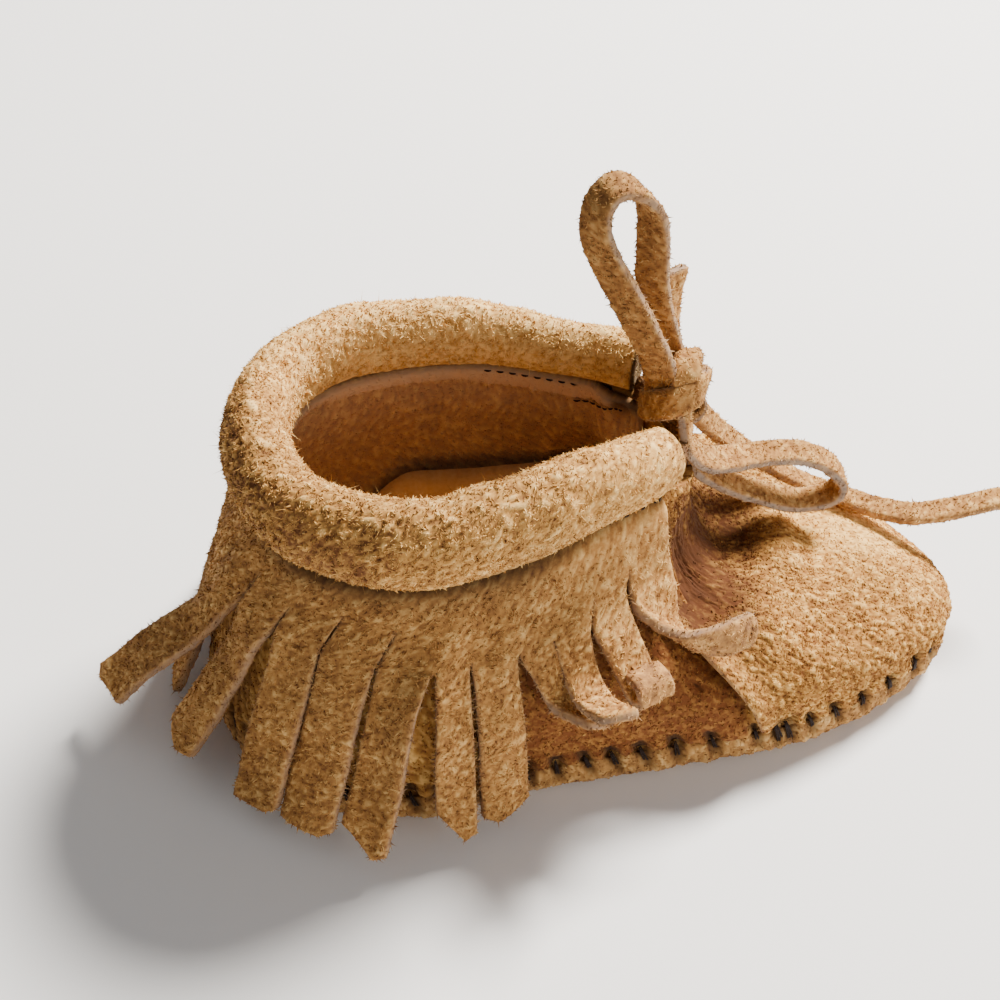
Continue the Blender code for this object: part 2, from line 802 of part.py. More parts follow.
# the knot, wound once and a half around the crossing strand
KNOT_R = THONG_D + 0.35
knot_route = []
for j in range(15):
    a = 2 * math.pi * (j / 14 * 1.45) - 0.5
    slide = (j / 14 - 0.5) * 5.6
    knot_route.append((10.2 + KNOT_R * math.cos(a), 0.4 + slide, 50.3 + KNOT_R * math.sin(a)))
knot = cord("lace_knot", knot_route, THONG_D, 20)
paint(knot, LACE_COLOUR, 0.95)
UPPER_LOOP = (
    (4.6, 0.6, 58.8),
    (3.4, 1.0, 61.5),
    (0.3, 2.0, 67.8),
    (-2.5, 2.5, 75.2),
    (-3.6, 3.0, 80.9),
    (-2.7, 3.5, 85.3),
    (-0.4, 4.0, 86.8),
    (2.8, 4.5, 83.9),
    (4.8, 4.5, 78.2),
    (5.7, 4.0, 70.2),
    (7.4, 3.0, 63.1),
    (9.2, 2.2, 58.8),
)
loop_up = cord("lace_loop_upper", UPPER_LOOP, THONG_D, 26)
paint(loop_up, LACE_COLOUR, 0.95)
LOWER_LOOP = (
    (16.2, 0.0, 44.4),
    (18.4, 2.0, 39.6),
    (22.0, 4.2, 36.4),
    (30.2, 6.9, 34.0),
    (37.1, 7.1, 32.4),
    (39.6, 3.4, 31.2),
    (36.5, 0.4, 30.2),
    (29.7, 1.2, 29.8),
    (23.3, 1.4, 31.6),
    (19.6, -0.6, 34.4),
)
loop_low = cord("lace_loop_lower", LOWER_LOOP, THONG_D, 28)
paint(loop_low, LACE_COLOUR, 0.95)
UPPER_END = ((9.8, 6.8, 57.8), (9.4, 7.3, 63.3), (9.0, 8.0, 69.6))
end_up = cord("lace_end_upper", UPPER_END, THONG_D, 6)
paint(end_up, LACE_COLOUR, 0.95)
LONG_END = (
    (16.2, 5.4, 44.6),
    (19.8, 8.0, 39.0),
    (24.6, 10.2, 33.0),
    (33.4, 11.6, 26.0),
    (42.0, 9.6, 21.6),
    (48.6, 6.4, 20.6),
    (54.5, 4.2, 20.8),
    (61.5, 4.5, 21.2),
    (68.9, 5.5, 21.6),
    (75.0, 5.6, 22.2),
)
end_long = cord("lace_end_long", LONG_END, THONG_D, 24)
paint(end_long, LACE_COLOUR, 0.95)
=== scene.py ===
"""Looks of the fringed baby bootie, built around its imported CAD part.

All sizes are millimetres in the bootie's own last axis (x heel to toe, y near side negative, z up) and are shifted
onto the part's frame when a mesh is made.
"""

import math

import bpy
import numpy as np
from mathutils import Matrix, Vector
from mathutils.bvhtree import BVHTree


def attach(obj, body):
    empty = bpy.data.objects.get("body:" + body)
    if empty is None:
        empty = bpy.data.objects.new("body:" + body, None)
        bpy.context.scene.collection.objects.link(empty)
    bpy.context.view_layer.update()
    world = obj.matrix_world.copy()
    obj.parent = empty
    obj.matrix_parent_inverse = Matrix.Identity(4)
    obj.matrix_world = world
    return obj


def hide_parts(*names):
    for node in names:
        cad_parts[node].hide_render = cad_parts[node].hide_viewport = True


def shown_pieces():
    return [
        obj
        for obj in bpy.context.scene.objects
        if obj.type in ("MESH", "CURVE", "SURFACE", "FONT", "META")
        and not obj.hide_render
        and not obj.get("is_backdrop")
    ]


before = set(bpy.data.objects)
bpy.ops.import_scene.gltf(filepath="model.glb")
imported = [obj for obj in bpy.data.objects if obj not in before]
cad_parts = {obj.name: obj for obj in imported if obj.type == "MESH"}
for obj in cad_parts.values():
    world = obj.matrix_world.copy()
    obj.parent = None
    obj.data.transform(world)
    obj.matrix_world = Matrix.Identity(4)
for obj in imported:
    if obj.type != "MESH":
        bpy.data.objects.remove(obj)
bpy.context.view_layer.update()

MM = 0.001
SHIFT = np.array([8.05, -0.81, 0.0])

# ------------------------------------------------------------------ the shoe's own sizes, as in its CAD
SUEDE = 1.8
GAP = 0.3
SOLE_FLOOR = 1.9
RIM_TOP = 7.0
RIM_LEAN = 0.35
TOE_SPRING = 1.5
HEEL_SPRING = 0.6
SEAM_Z = 41.4
COLLAR_HALF_W = 5.3
COLLAR_HALF_H = 6.9
FRINGE_T = 1.7
BAND = 9.5
STRIP_GAP = 0.45
AROUND = 64
INSOLE_T = 1.6
CURL = 13.0

OUTLINE = (
    (-60.0, -3.5, -3.5),
    (-57.5, -14.5, 8.0),
    (-51.5, -24.0, 17.5),
    (-41.5, -31.0, 24.8),
    (-29.0, -33.0, 27.8),
    (-14.0, -30.4, 28.0),
    (1.0, -28.8, 28.6),
    (15.0, -27.6, 29.2),
    (28.0, -26.0, 28.3),
    (40.0, -22.4, 24.6),
    (50.0, -17.2, 16.6),
    (57.0, -11.6, 6.2),
    (60.0, -3.4, -3.4),
)
TOE_ROWS = (
    (0.000, 0.000, 0.0),
    (0.000, 0.115, 0.0),
    (0.000, 0.165, 0.9),
    (0.012, 0.235, 1.3),
    (0.085, 0.310, 0.9),
    (0.215, 0.380, 0.4),
    (0.400, 0.445, 0.0),
    (0.600, 0.500, 0.0),
    (0.770, 0.505, 0.0),
    (0.900, 0.600, 0.0),
    (0.968, 0.790, 0.0),
    (1.000, 1.000, 0.0),
)
BALL_ROWS = (
    (0.000, 0.000, 0.0),
    (0.000, 0.115, 0.0),
    (0.000, 0.165, 1.2),
    (0.012, 0.260, 2.0),
    (0.095, 0.365, 1.9),
    (0.235, 0.450, 1.2),
    (0.400, 0.520, 0.5),
    (0.570, 0.580, 0.1),
    (0.730, 0.660, 0.0),
    (0.860, 0.770, 0.0),
    (0.950, 0.880, 0.0),
    (1.000, 1.000, 0.0),
)
QUARTER_ROWS = (
    (0.000, 0.000, 0.0),
    (0.000, 0.115, 0.0),
    (0.010, 0.165, 1.1),
    (0.030, 0.260, 1.9),
    (0.090, 0.370, 2.2),
    (0.190, 0.480, 2.1),
    (0.330, 0.590, 1.7),
    (0.490, 0.690, 1.2),
    (0.650, 0.780, 0.7),
    (0.800, 0.860, 0.3),
    (0.920, 0.935, 0.1),
    (1.000, 1.000, 0.0),
)
HEEL_ROWS = (
    (0.000, 0.000, 0.0),
    (0.000, 0.115, 0.0),
    (0.010, 0.165, 0.6),
    (0.040, 0.260, 1.0),
    (0.110, 0.370, 1.1),
    (0.220, 0.480, 1.0),
    (0.360, 0.590, 0.8),
    (0.510, 0.690, 0.6),
    (0.660, 0.780, 0.3),
    (0.800, 0.860, 0.1),
    (0.920, 0.935, 0.0),
    (1.000, 1.000, 0.0),
)
PROFILE_AT = (
    (0.00, TOE_ROWS),
    (0.155, BALL_ROWS),
    (0.27, QUARTER_ROWS),
    (0.37, QUARTER_ROWS),
    (0.50, HEEL_ROWS),
    (0.63, QUARTER_ROWS),
    (0.73, QUARTER_ROWS),
    (0.845, BALL_ROWS),
    (1.00, TOE_ROWS),
)
TOP_EDGE = (
    (0.00, 13.2, 0.0, 40.6),
    (0.08, 12.2, -5.2, 40.8),
    (0.14, 9.4, -9.0, 41.2),
    (0.20, 4.6, -12.2, SEAM_Z),
    (0.26, -5.6, -17.0, SEAM_Z),
    (0.32, -16.6, -20.8, SEAM_Z),
    (0.38, -30.0, -22.0, SEAM_Z),
    (0.44, -43.6, -15.2, SEAM_Z),
    (0.50, -49.2, 0.6, SEAM_Z),
    (0.56, -43.6, 16.2, SEAM_Z),
    (0.62, -30.0, 21.4, SEAM_Z),
    (0.68, -16.6, 21.4, SEAM_Z),
    (0.74, -5.6, 17.5, SEAM_Z),
    (0.80, 4.0, 12.6, SEAM_Z),
    (0.86, 9.2, 9.0, 41.2),
    (0.92, 12.2, 5.2, 40.8),
)
COLLAR_LINE = (
    (6.0, -10.0, 0.74),
    (1.6, -12.9, 0.84),
    (-5.6, -16.6, 0.92),
    (-16.0, -20.9, 0.98),
    (-28.0, -22.8, 1.00),
    (-38.0, -19.8, 1.00),
    (-45.8, -12.6, 0.96),
    (-50.0, 0.6, 0.93),
    (-46.6, 13.6, 0.90),
    (-38.4, 20.2, 0.86),
    (-28.0, 21.9, 0.83),
    (-16.0, 21.2, 0.77),
    (-4.6, 16.7, 0.67),
    (1.2, 14.1, 0.66),
    (6.2, 11.4, 0.68),
)
# how much higher than at the heel the top edge runs: near side and far side, by x
NEAR_RISE = ((-50.0, 0.0), (-45.0, 0.3), (-38.0, 1.0), (-28.0, 1.9), (-16.0, 3.3), (-5.0, 4.4), (6.0, 4.3), (9.4, 2.6), (12.2, 0.7), (13.2, 0.0))
FAR_RISE = ((-50.0, 0.0), (-45.0, 0.4), (-38.0, 1.2), (-28.0, 1.9), (-18.0, 2.4), (-5.0, 3.5), (2.0, 4.1), (6.5, 4.1), (9.4, 2.6), (12.2, 0.7), (13.2, 0.0))
# width, length, lean at root, middle and tip, swing to the toe, twist, slant of the cut tip
STRIPS = (
    (7.2, 24.0, 30, 62, 100, 58, 14, 1.5),
    (5.8, 20.0, 18, 30, 134, 4, 10, -1.0),
    (4.9, 21.0, 18, 28, 126, -4, -6, 1.0),
    (4.7, 20.5, 18, 26, 134, 14, -10, 1.2),
    (5.7, 29.5, 19, 13, 13, 6, 4, -1.8),
    (4.4, 29.5, 19, 19, 19, -2, -4, 1.8),
    (6.2, 31.0, 22, 26, 24, -25, 4, -2.0),
    (7.1, 30.5, 22, 24, 22, -16, -4, 2.0),
    (6.6, 30.0, 23, 25, 23, -4, 4, 1.6),
    (6.4, 30.0, 24, 32, 32, -24, -8, -1.2),
    (7.0, 32.0, 34, 47, 48, -18, -10, 1.0),
    (7.0, 31.0, 18, 20, 18, -4, 2, -1.2),
    (6.2, 30.0, 15, 15, 13, 0, -2, 1.4),
    (6.2, 30.0, 15, 17, 14, 4, 3, -1.4),
    (6.3, 30.0, 17, 19, 16, 5, -3, 1.6),
    (6.2, 30.0, 18, 21, 18, 4, 3, -1.6),
    (6.3, 30.5, 19, 22, 18, 2, -3, 1.8),
    (6.2, 30.5, 18, 22, 20, 0, 4, -1.4),
    (6.2, 30.0, 17, 21, 24, -2, -4, 1.2),
    (6.2, 29.0, 18, 22, 30, -2, 4, -1.2),
    (6.0, 26.0, 24, 36, 84, -4, 6, 1.0),
    (6.0, 24.5, 34, 48, 96, -6, -8, -1.0),
    (6.4, 24.5, 38, 50, 66, -8, 10, 1.2),
)

# ------------------------------------------------------------------ small tools
def ease(t):
    t = np.clip(t, 0.0, 1.0)
    return t * t * (3 - 2 * t)


def unit(v):
    return v / np.maximum(np.linalg.norm(v, axis=-1), 1e-9)[..., None]


def catmull(a, b, c, d, t):
    return 0.5 * (
        2 * b + (c - a) * t + (2 * a - 5 * b + 4 * c - d) * t * t + (3 * b - a - 3 * c + d) * t**3
    )


def smooth_line(points, count, closed=False, plan=True, fine_steps=24):
    """Points spread evenly along a smooth curve through the given ones; plan measures length in x and y only."""
    pts = np.asarray(points, float)
    n = len(pts)
    fine = []
    for i in range(n if closed else n - 1):
        b, c = pts[i], pts[(i + 1) % n]
        a = pts[i - 1] if closed or i > 0 else 2 * b - c
        d = pts[(i + 2) % n] if closed or i + 2 < n else 2 * c - b
        for t in np.linspace(0, 1, fine_steps, endpoint=False):
            fine.append(catmull(a, b, c, d, t))
    fine.append(pts[0] if closed else pts[-1])
    fine = np.array(fine)
    dims = 2 if plan else 3
    steps = np.linalg.norm(np.diff(fine[:, :dims], axis=0), axis=1)
    run = np.concatenate([[0.0], np.cumsum(steps)])
    want = np.linspace(0, run[-1], count + 1 if closed else count)
    line = np.stack([np.interp(want, run, fine[:, k]) for k in range(pts.shape[1])], 1)
    return line[:-1] if closed else line


def outward(line, closed=True):
    along = np.roll(line, -1, 0) - np.roll(line, 1, 0) if closed else np.gradient(line, axis=0)
    return -unit(np.stack([along[:, 1], -along[:, 0]], 1))


GRADIENTS = unit(
    np.array(
        [
            (1, 1, 0), (-1, 1, 0), (1, -1, 0), (-1, -1, 0), (1, 0, 1), (-1, 0, 1), (1, 0, -1), (-1, 0, -1),
            (0, 1, 1), (0, -1, 1), (0, 1, -1), (0, -1, -1), (1, 1, 0), (-1, 1, 0), (0, -1, 1), (0, -1, -1),
        ],
        float,
    )
)


def noise(points, size, seed=0):
    """Smooth gradient noise, about -1 to 1, with features of that size in mm."""
    shape = points.shape[:-1]
    p = points.reshape(-1, 3) / size + 37.3 + seed * 11.17
    whole = np.floor(p).astype(np.int64)
    f = p - whole
    u = f * f * f * (f * (f * 6 - 15) + 10)
    total = np.zeros(len(p))
    for dx in (0, 1):
        for dy in (0, 1):
            for dz in (0, 1):
                h = (
                    (whole[:, 0] + dx) * 374761393
                    + (whole[:, 1] + dy) * 668265263
                    + (whole[:, 2] + dz) * 1440662683
                    + seed * 974634777
                ) & 0xFFFFFFFF
                h = ((h ^ (h >> 13)) * 1274126177) & 0xFFFFFFFF
                h = (h ^ (h >> 16)) & 15
                d = f - np.array([dx, dy, dz])
                w = (
                    (u[:, 0] if dx else 1 - u[:, 0])
                    * (u[:, 1] if dy else 1 - u[:, 1])
                    * (u[:, 2] if dz else 1 - u[:, 2])
                )
                total += w * (GRADIENTS[h] * d).sum(1)
    return (total * 1.55).reshape(shape)


def grid_normals(g, periodic_u=False, periodic_v=False):
    du = np.roll(g, -1, 0) - np.roll(g, 1, 0) if periodic_u else np.gradient(g, axis=0)
    dv = np.roll(g, -1, 1) - np.roll(g, 1, 1) if periodic_v else np.gradient(g, axis=1)
    return unit(np.cross(du, dv))


def grid_quads(nu, nv, periodic_u=False, periodic_v=False, first=0):
    u = np.arange(nu if periodic_u else nu - 1)
    v = np.arange(nv if periodic_v else nv - 1)
    uu, vv = np.meshgrid(u, v, indexing="ij")
    u2, v2 = (uu + 1) % nu, (vv + 1) % nv
    q = np.stack([uu * nv + vv, u2 * nv + vv, u2 * nv + v2, uu * nv + v2], -1).reshape(-1, 4)
    return q + first


def make_mesh(name, verts, polys, look=None, smooth=True):
    """A mesh from points in mm and a list of face arrays; look is (tone, edge, underside, how much colour stays) per
    point; lowering the last stands for stains and for painted shade.
    """
    sizes = np.concatenate([np.full(len(p), p.shape[1]) for p in polys if len(p)])
    loops = np.concatenate([p.reshape(-1) for p in polys if len(p)])
    mesh = bpy.data.meshes.new(name)
    mesh.vertices.add(len(verts))
    mesh.vertices.foreach_set("co", ((verts + SHIFT) * MM).astype(np.float32).ravel())
    mesh.loops.add(len(loops))
    mesh.loops.foreach_set("vertex_index", loops.astype(np.int32))
    mesh.polygons.add(len(sizes))
    starts = np.concatenate([[0], np.cumsum(sizes)[:-1]])
    mesh.polygons.foreach_set("loop_start", starts.astype(np.int32))
    mesh.polygons.foreach_set("use_smooth", (sizes <= 4) & smooth)
    if look is not None:
        layer = mesh.attributes.new("look", "FLOAT_COLOR", "POINT")
        rgba = np.ones((len(verts), 4), np.float32)
        rgba[:, : look.shape[1]] = look
        layer.data.foreach_set("color", rgba.ravel())
    mesh.update(calc_edges=True)
    mesh.validate()
    obj = bpy.data.objects.new(name, mesh)
    bpy.context.scene.collection.objects.link(obj)
    return obj


# ------------------------------------------------------------------ the last's surfaces, as in the CAD
near_edge = [(x, n) for x, n, f in OUTLINE]
far_edge = [(x, f) for x, n, f in OUTLINE]
plan = smooth_line(near_edge[::-1] + far_edge[1:-1], AROUND, True)
plan_out = outward(plan)
if plan_out[0][0] < 0:
    plan_out = -plan_out
FINE = 8  # finer stations between those of the CAD


def lift_of(x):
    return TOE_SPRING * ease((x - 42.0) / 18.0) + HEEL_SPRING * ease((-48.0 - x) / 12.0)


def finer(ring, times=FINE):
    """Smooth closed ring with that many points for each given one."""
    n = len(ring)
    a, b, c, d = np.roll(ring, 1, 0), ring, np.roll(ring, -1, 0), np.roll(ring, -2, 0)
    out = np.stack([catmull(a, b, c, d, t) for t in np.arange(times) / times], 1)
    return out.reshape((n * times,) + ring.shape[1:])


def blend_rows(share):
    for (a, rows_a), (b, rows_b) in zip(PROFILE_AT, PROFILE_AT[1:]):
        if a <= share <= b:
            t = ease((share - a) / (b - a))
            return (1 - t) * np.array(rows_a) + t * np.array(rows_b)
    return np.array(TOE_ROWS)


def top_point(share):
    rows = TOP_EDGE + ((1.0, *TOP_EDGE[0][1:]),)
    at = np.array([r[0] for r in rows])
    pts = np.array([r[1:] for r in rows])
    k = min(max(int(np.searchsorted(at, share, side="right")) - 1, 0), len(at) - 2)
    t = (share - at[k]) / (at[k + 1] - at[k])
    p0 = pts[k - 1] if k > 0 else pts[-2]
    p3 = pts[k + 2] if k + 2 < len(pts) else pts[1]
    return catmull(p0, pts[k], pts[k + 1], p3, t)


def rise_at(x, y):
    """How much higher than at the heel the upper's top edge runs there."""
    near = np.interp(x, [a for a, b in NEAR_RISE], [b for a, b in NEAR_RISE])
    far = np.interp(x, [a for a, b in FAR_RISE], [b for a, b in FAR_RISE])
    return np.where(np.asarray(y) < 0, near, far)


LAP_INSET = RIM_LEAN + SUEDE + GAP
LAP_Z = SOLE_FLOOR + GAP + 0.35


def upper_meridian(k):
    share = k / AROUND
    out = plan_out[k]
    foot = plan[k] - out * LAP_INSET
    lift = float(lift_of(plan[k][0]))
    top = top_point(share)
    pts = []
    for s, up, bulge in blend_rows(share):
        xy = foot + s * (top[:2] - foot) + out * bulge
        more = float(rise_at(top[0], top[1])) * float(ease((up - 0.8) / 0.2))
        pts.append((xy[0], xy[1], LAP_Z + lift + up * (top[2] - LAP_Z - lift) + more))
    return np.array(pts)


outer = np.array([upper_meridian(k) for k in range(AROUND)])
around_d = np.roll(outer, -1, 0) - np.roll(outer, 1, 0)
outer_n = unit(np.cross(around_d, np.gradient(outer, axis=1)))
if ((outer - outer.mean((0, 1))) * outer_n).sum() < 0:
    outer_n = -outer_n

# fine table of the upper's outer face: stations around, even steps up each meridian
TABLE_V = 161
dense = finer(outer)
rows_n = outer.shape[1]
fine_rows = []
for j in range(rows_n - 1):
    b, c = dense[:, j], dense[:, j + 1]
    a = dense[:, j - 1] if j > 0 else 2 * b - c
    d = dense[:, j + 2] if j + 2 < rows_n else 2 * c - b
    for t in np.arange(12) / 12:
        fine_rows.append(catmull(a, b, c, d, t))
fine_rows.append(dense[:, -1])
dense = np.stack(fine_rows, 1)
steps = np.linalg.norm(np.diff(dense, axis=1), axis=2)
run_up = np.concatenate([np.zeros((len(dense), 1)), np.cumsum(steps, 1)], 1)
skin = np.zeros((len(dense), TABLE_V, 3))
for k in range(len(dense)):
    want = np.linspace(0, run_up[k, -1], TABLE_V)
    for i in range(3):
        skin[k, :, i] = np.interp(want, run_up[k], dense[k, :, i])
skin_length = run_up[:, -1]
skin_n = grid_normals(skin, periodic_u=True)
if ((skin - skin.mean((0, 1))) * skin_n).sum() < 0:
    skin_n = -skin_n


def on_skin(share, v):
    """Point and outward normal of the upper's outer face; share around and v up the meridian, both 0 to 1."""
    share, v = np.broadcast_arrays(np.asarray(share, float), np.asarray(v, float))
    n = len(skin)
    u = (share % 1.0) * n
    i = np.floor(u).astype(int) % n
    i2 = (i + 1) % n
    fu = (u - np.floor(u))[..., None]
    w = np.clip(v, 0, 1) * (TABLE_V - 1)
    j = np.minimum(np.floor(w).astype(int), TABLE_V - 2)
    fv = (w - j)[..., None]

    def mix(t):
        return (1 - fu) * ((1 - fv) * t[i, j] + fv * t[i, j + 1]) + fu * (
            (1 - fv) * t[i2, j] + fv * t[i2, j + 1]
        )

    return mix(skin), unit(mix(skin_n))


def v_at_height(share, z):
    """How far up the meridian a height is."""
    k = int(round((share % 1.0) * len(skin))) % len(skin)
    return float(np.interp(z, np.maximum.accumulate(skin[k, :, 2]), np.linspace(0, 1, TABLE_V)))


# ------------------------------------------------------------------ materials
def suede_material(
    name,
    tip,
    mid,
    pit,
    edge=(0.56, 0.50, 0.45),
    under=(0.42, 0.29, 0.20),
    grain=1100.0,
    bump=0.10,
    patch=(0.86, 1.10),
    sheen=0.05,
):
    """Napped suede. The point colour 'look' holds nap height, raw edge and smooth underside."""
    mat = bpy.data.materials.new(name)
    mat.use_nodes = True
    nt = mat.node_tree
    skin_node = nt.nodes["Principled BSDF"]
    skin_node.inputs["Specular IOR Level"].default_value = 0.18
    skin_node.inputs["Sheen Weight"].default_value = sheen
    skin_node.inputs["Sheen Roughness"].default_value = 0.45
    skin_node.inputs["Sheen Tint"].default_value = (0.90, 0.60, 0.34, 1)

    def node(kind, **sets):
        nd = nt.nodes.new(kind)
        for k, val in sets.items():
            if hasattr(nd, k):
                setattr(nd, k, val)
            else:
                nd.inputs[k].default_value = val
        return nd

    def mixer(mode, fac, a, b):
        m = node("ShaderNodeMix", data_type="RGBA", blend_type=mode)
        for sock, val in ((m.inputs[0], fac), (m.inputs[6], a), (m.inputs[7], b)):
            if isinstance(val, bpy.types.NodeSocket):
                nt.links.new(val, sock)
            else:
                sock.default_value = val
        return m.outputs[2]

    attr = node("ShaderNodeAttribute", attribute_name="look", attribute_type="GEOMETRY")
    split = node("ShaderNodeSeparateColor")
    nt.links.new(attr.outputs["Color"], split.inputs[0])
    where = node("ShaderNodeTexCoord")
    fine = node("ShaderNodeTexNoise", noise_dimensions="3D")
    fine.inputs["Scale"].default_value = grain
    fine.inputs["Detail"].default_value = 3.0
    fine.inputs["Roughness"].default_value = 0.62
    wide = node("ShaderNodeTexNoise", noise_dimensions="3D")
    wide.inputs["Scale"].default_value = 75.0
    wide.inputs["Detail"].default_value = 3.0
    for n in (fine, wide):
        nt.links.new(where.outputs["Object"], n.inputs["Vector"])

    # nap height with a little grain in it
    tone = node("ShaderNodeMath", operation="MULTIPLY_ADD")
    nt.links.new(fine.outputs["Fac"], tone.inputs[0])
    tone.inputs[1].default_value = 0.7
    tone.inputs[2].default_value = -0.35
    tone_sum = node("ShaderNodeMath", operation="ADD")
    nt.links.new(tone.outputs[0], tone_sum.inputs[0])
    nt.links.new(split.outputs[0], tone_sum.inputs[1])
    ramp = node("ShaderNodeValToRGB")
    els = ramp.color_ramp.elements
    els[0].position, els[0].color = 0.08, (*pit, 1)
    els[1].position, els[1].color = 0.92, (*tip, 1)
    middle_el = els.new(0.48)
    middle_el.color = (*mid, 1)
    nt.links.new(tone_sum.outputs[0], ramp.inputs[0])
    # broad patches, lighter and darker
    patch_map = node("ShaderNodeMapRange")
    nt.links.new(wide.outputs["Fac"], patch_map.inputs[0])
    patch_map.inputs[1].default_value = 0.3
    patch_map.inputs[2].default_value = 0.7
    patch_map.inputs[3].default_value = patch[0]
    patch_map.inputs[4].default_value = patch[1]
    patch_rgb = node("ShaderNodeCombineColor")
    for i in range(3):
        nt.links.new(patch_map.outputs[0], patch_rgb.inputs[i])
    toned = mixer("MULTIPLY", 1.0, ramp.outputs[0], patch_rgb.outputs[0])
    under_rgb = mixer("MIX", split.outputs[2], toned, (*under, 1))
    edge_rgb = mixer("MIX", split.outputs[1], under_rgb, (*edge, 1))
    # the look's alpha dims the colour towards near-black: real ink stains, and painted shade in stitch holes, creases
    # and shadowed places
    dark = node("ShaderNodeMath", operation="SUBTRACT")
    dark.inputs[0].default_value = 1.0
    nt.links.new(attr.outputs["Alpha"], dark.inputs[1])
    darkened = mixer("MIX", dark.outputs[0], edge_rgb, (0.024, 0.011, 0.006, 1))
    nt.links.new(darkened, skin_node.inputs["Base Color"])

    rough = node("ShaderNodeMapRange")
    nt.links.new(fine.outputs["Fac"], rough.inputs[0])
    rough.inputs[3].default_value = 0.86
    rough.inputs[4].default_value = 1.0
    nt.links.new(rough.outputs[0], skin_node.inputs["Roughness"])
    height = node("ShaderNodeBump")
    height.inputs["Strength"].default_value = 1.0
    height.inputs["Distance"].default_value = bump * MM
    nt.links.new(fine.outputs["Fac"], height.inputs["Height"])
    nt.links.new(height.outputs[0], skin_node.inputs["Normal"])
    return mat


# PIT, the colour of the nap's creases and tuft roots, is partly painted shade; TIP is partly painted light
TIP = (0.82, 0.50, 0.158)
MID = (0.46, 0.22, 0.052)
PIT = (0.145, 0.044, 0.010)
EDGE = (0.24, 0.17, 0.125)
UNDER = (0.62, 0.40, 0.25)
suede_upper = suede_material("suede_upper", TIP, MID, PIT, edge=EDGE, under=UNDER)
suede_collar = suede_material("suede_collar", (0.86, 0.56, 0.21), (0.52, 0.265, 0.070), (0.16, 0.060, 0.020), edge=EDGE, under=UNDER)
suede_fringe = suede_material("suede_fringe", (0.72, 0.44, 0.155), (0.42, 0.20, 0.055), (0.13, 0.046, 0.015), edge=EDGE, under=UNDER, grain=1500)
suede_sole = suede_material("suede_sole", (0.66, 0.42, 0.165), (0.38, 0.19, 0.056), (0.12, 0.044, 0.015), edge=EDGE, under=UNDER)
suede_insole = suede_material("suede_insole", (0.86, 0.56, 0.24), (0.74, 0.43, 0.16), (0.50, 0.25, 0.085), edge=EDGE, under=UNDER, grain=1700, bump=0.04)
suede_lace = suede_material("suede_lace", (0.66, 0.40, 0.145), (0.41, 0.20, 0.058), (0.15, 0.056, 0.017), edge=(0.31, 0.25, 0.20), under=UNDER)


def thread_material():
    mat = bpy.data.materials.new("waxed_thread")
    mat.use_nodes = True
    nt = mat.node_tree
    skin_node = nt.nodes["Principled BSDF"]
    skin_node.inputs["Specular IOR Level"].default_value = 0.12
    where = nt.nodes.new("ShaderNodeTexCoord")
    n = nt.nodes.new("ShaderNodeTexNoise")
    n.inputs["Scale"].default_value = 2600.0
    nt.links.new(where.outputs["Object"], n.inputs["Vector"])
    ramp = nt.nodes.new("ShaderNodeValToRGB")
    ramp.color_ramp.elements[0].color = (0.006, 0.004, 0.004, 1)
    ramp.color_ramp.elements[1].color = (0.040, 0.022, 0.016, 1)
    nt.links.new(n.outputs["Fac"], ramp.inputs[0])
    nt.links.new(ramp.outputs[0], skin_node.inputs["Base Color"])
    rough = nt.nodes.new("ShaderNodeMapRange")
    rough.inputs[3].default_value = 0.5
    rough.inputs[4].default_value = 0.8
    nt.links.new(n.outputs["Fac"], rough.inputs[0])
    nt.links.new(rough.outputs[0], skin_node.inputs["Roughness"])
    b = nt.nodes.new("ShaderNodeBump")
    b.inputs["Distance"].default_value = 0.05 * MM
    nt.links.new(n.outputs["Fac"], b.inputs["Height"])
    nt.links.new(b.outputs[0], skin_node.inputs["Normal"])
    return mat


thread = thread_material()


def finish_piece(obj, mat, slot, *nodes):
    obj.data.materials.append(mat)
    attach(obj, "root")
    if nodes:
        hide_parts(*nodes)
    return obj


# ------------------------------------------------------------------ nap
def nap(points, seed, amount=1.0, clump=1.25):
    """Height of the nap in mm, about -0.3 to 0.4 times amount, and its tone from 0 to 1: pellets with creases between;
    the tone follows the height, so the creases' darker colour is partly painted shade and the pellets' lighter colour
    partly painted light.
    """
    warp = np.stack([noise(points, clump * 2.3, seed + 3 + k) for k in range(3)], -1) * clump * 0.45
    a = np.abs(noise(points + warp, clump * 1.5, seed))
    b = np.abs(noise(points - warp, clump * 0.78, seed + 1))
    c = noise(points, clump * 3.3, seed + 2)
    height = amount * (0.80 * (a - 0.32) + 0.36 * (b - 0.32) + 0.15 * c)
    tone = np.clip(0.16 + 0.85 * a + 0.42 * b + 0.10 * c, 0, 1)
    return height, tone


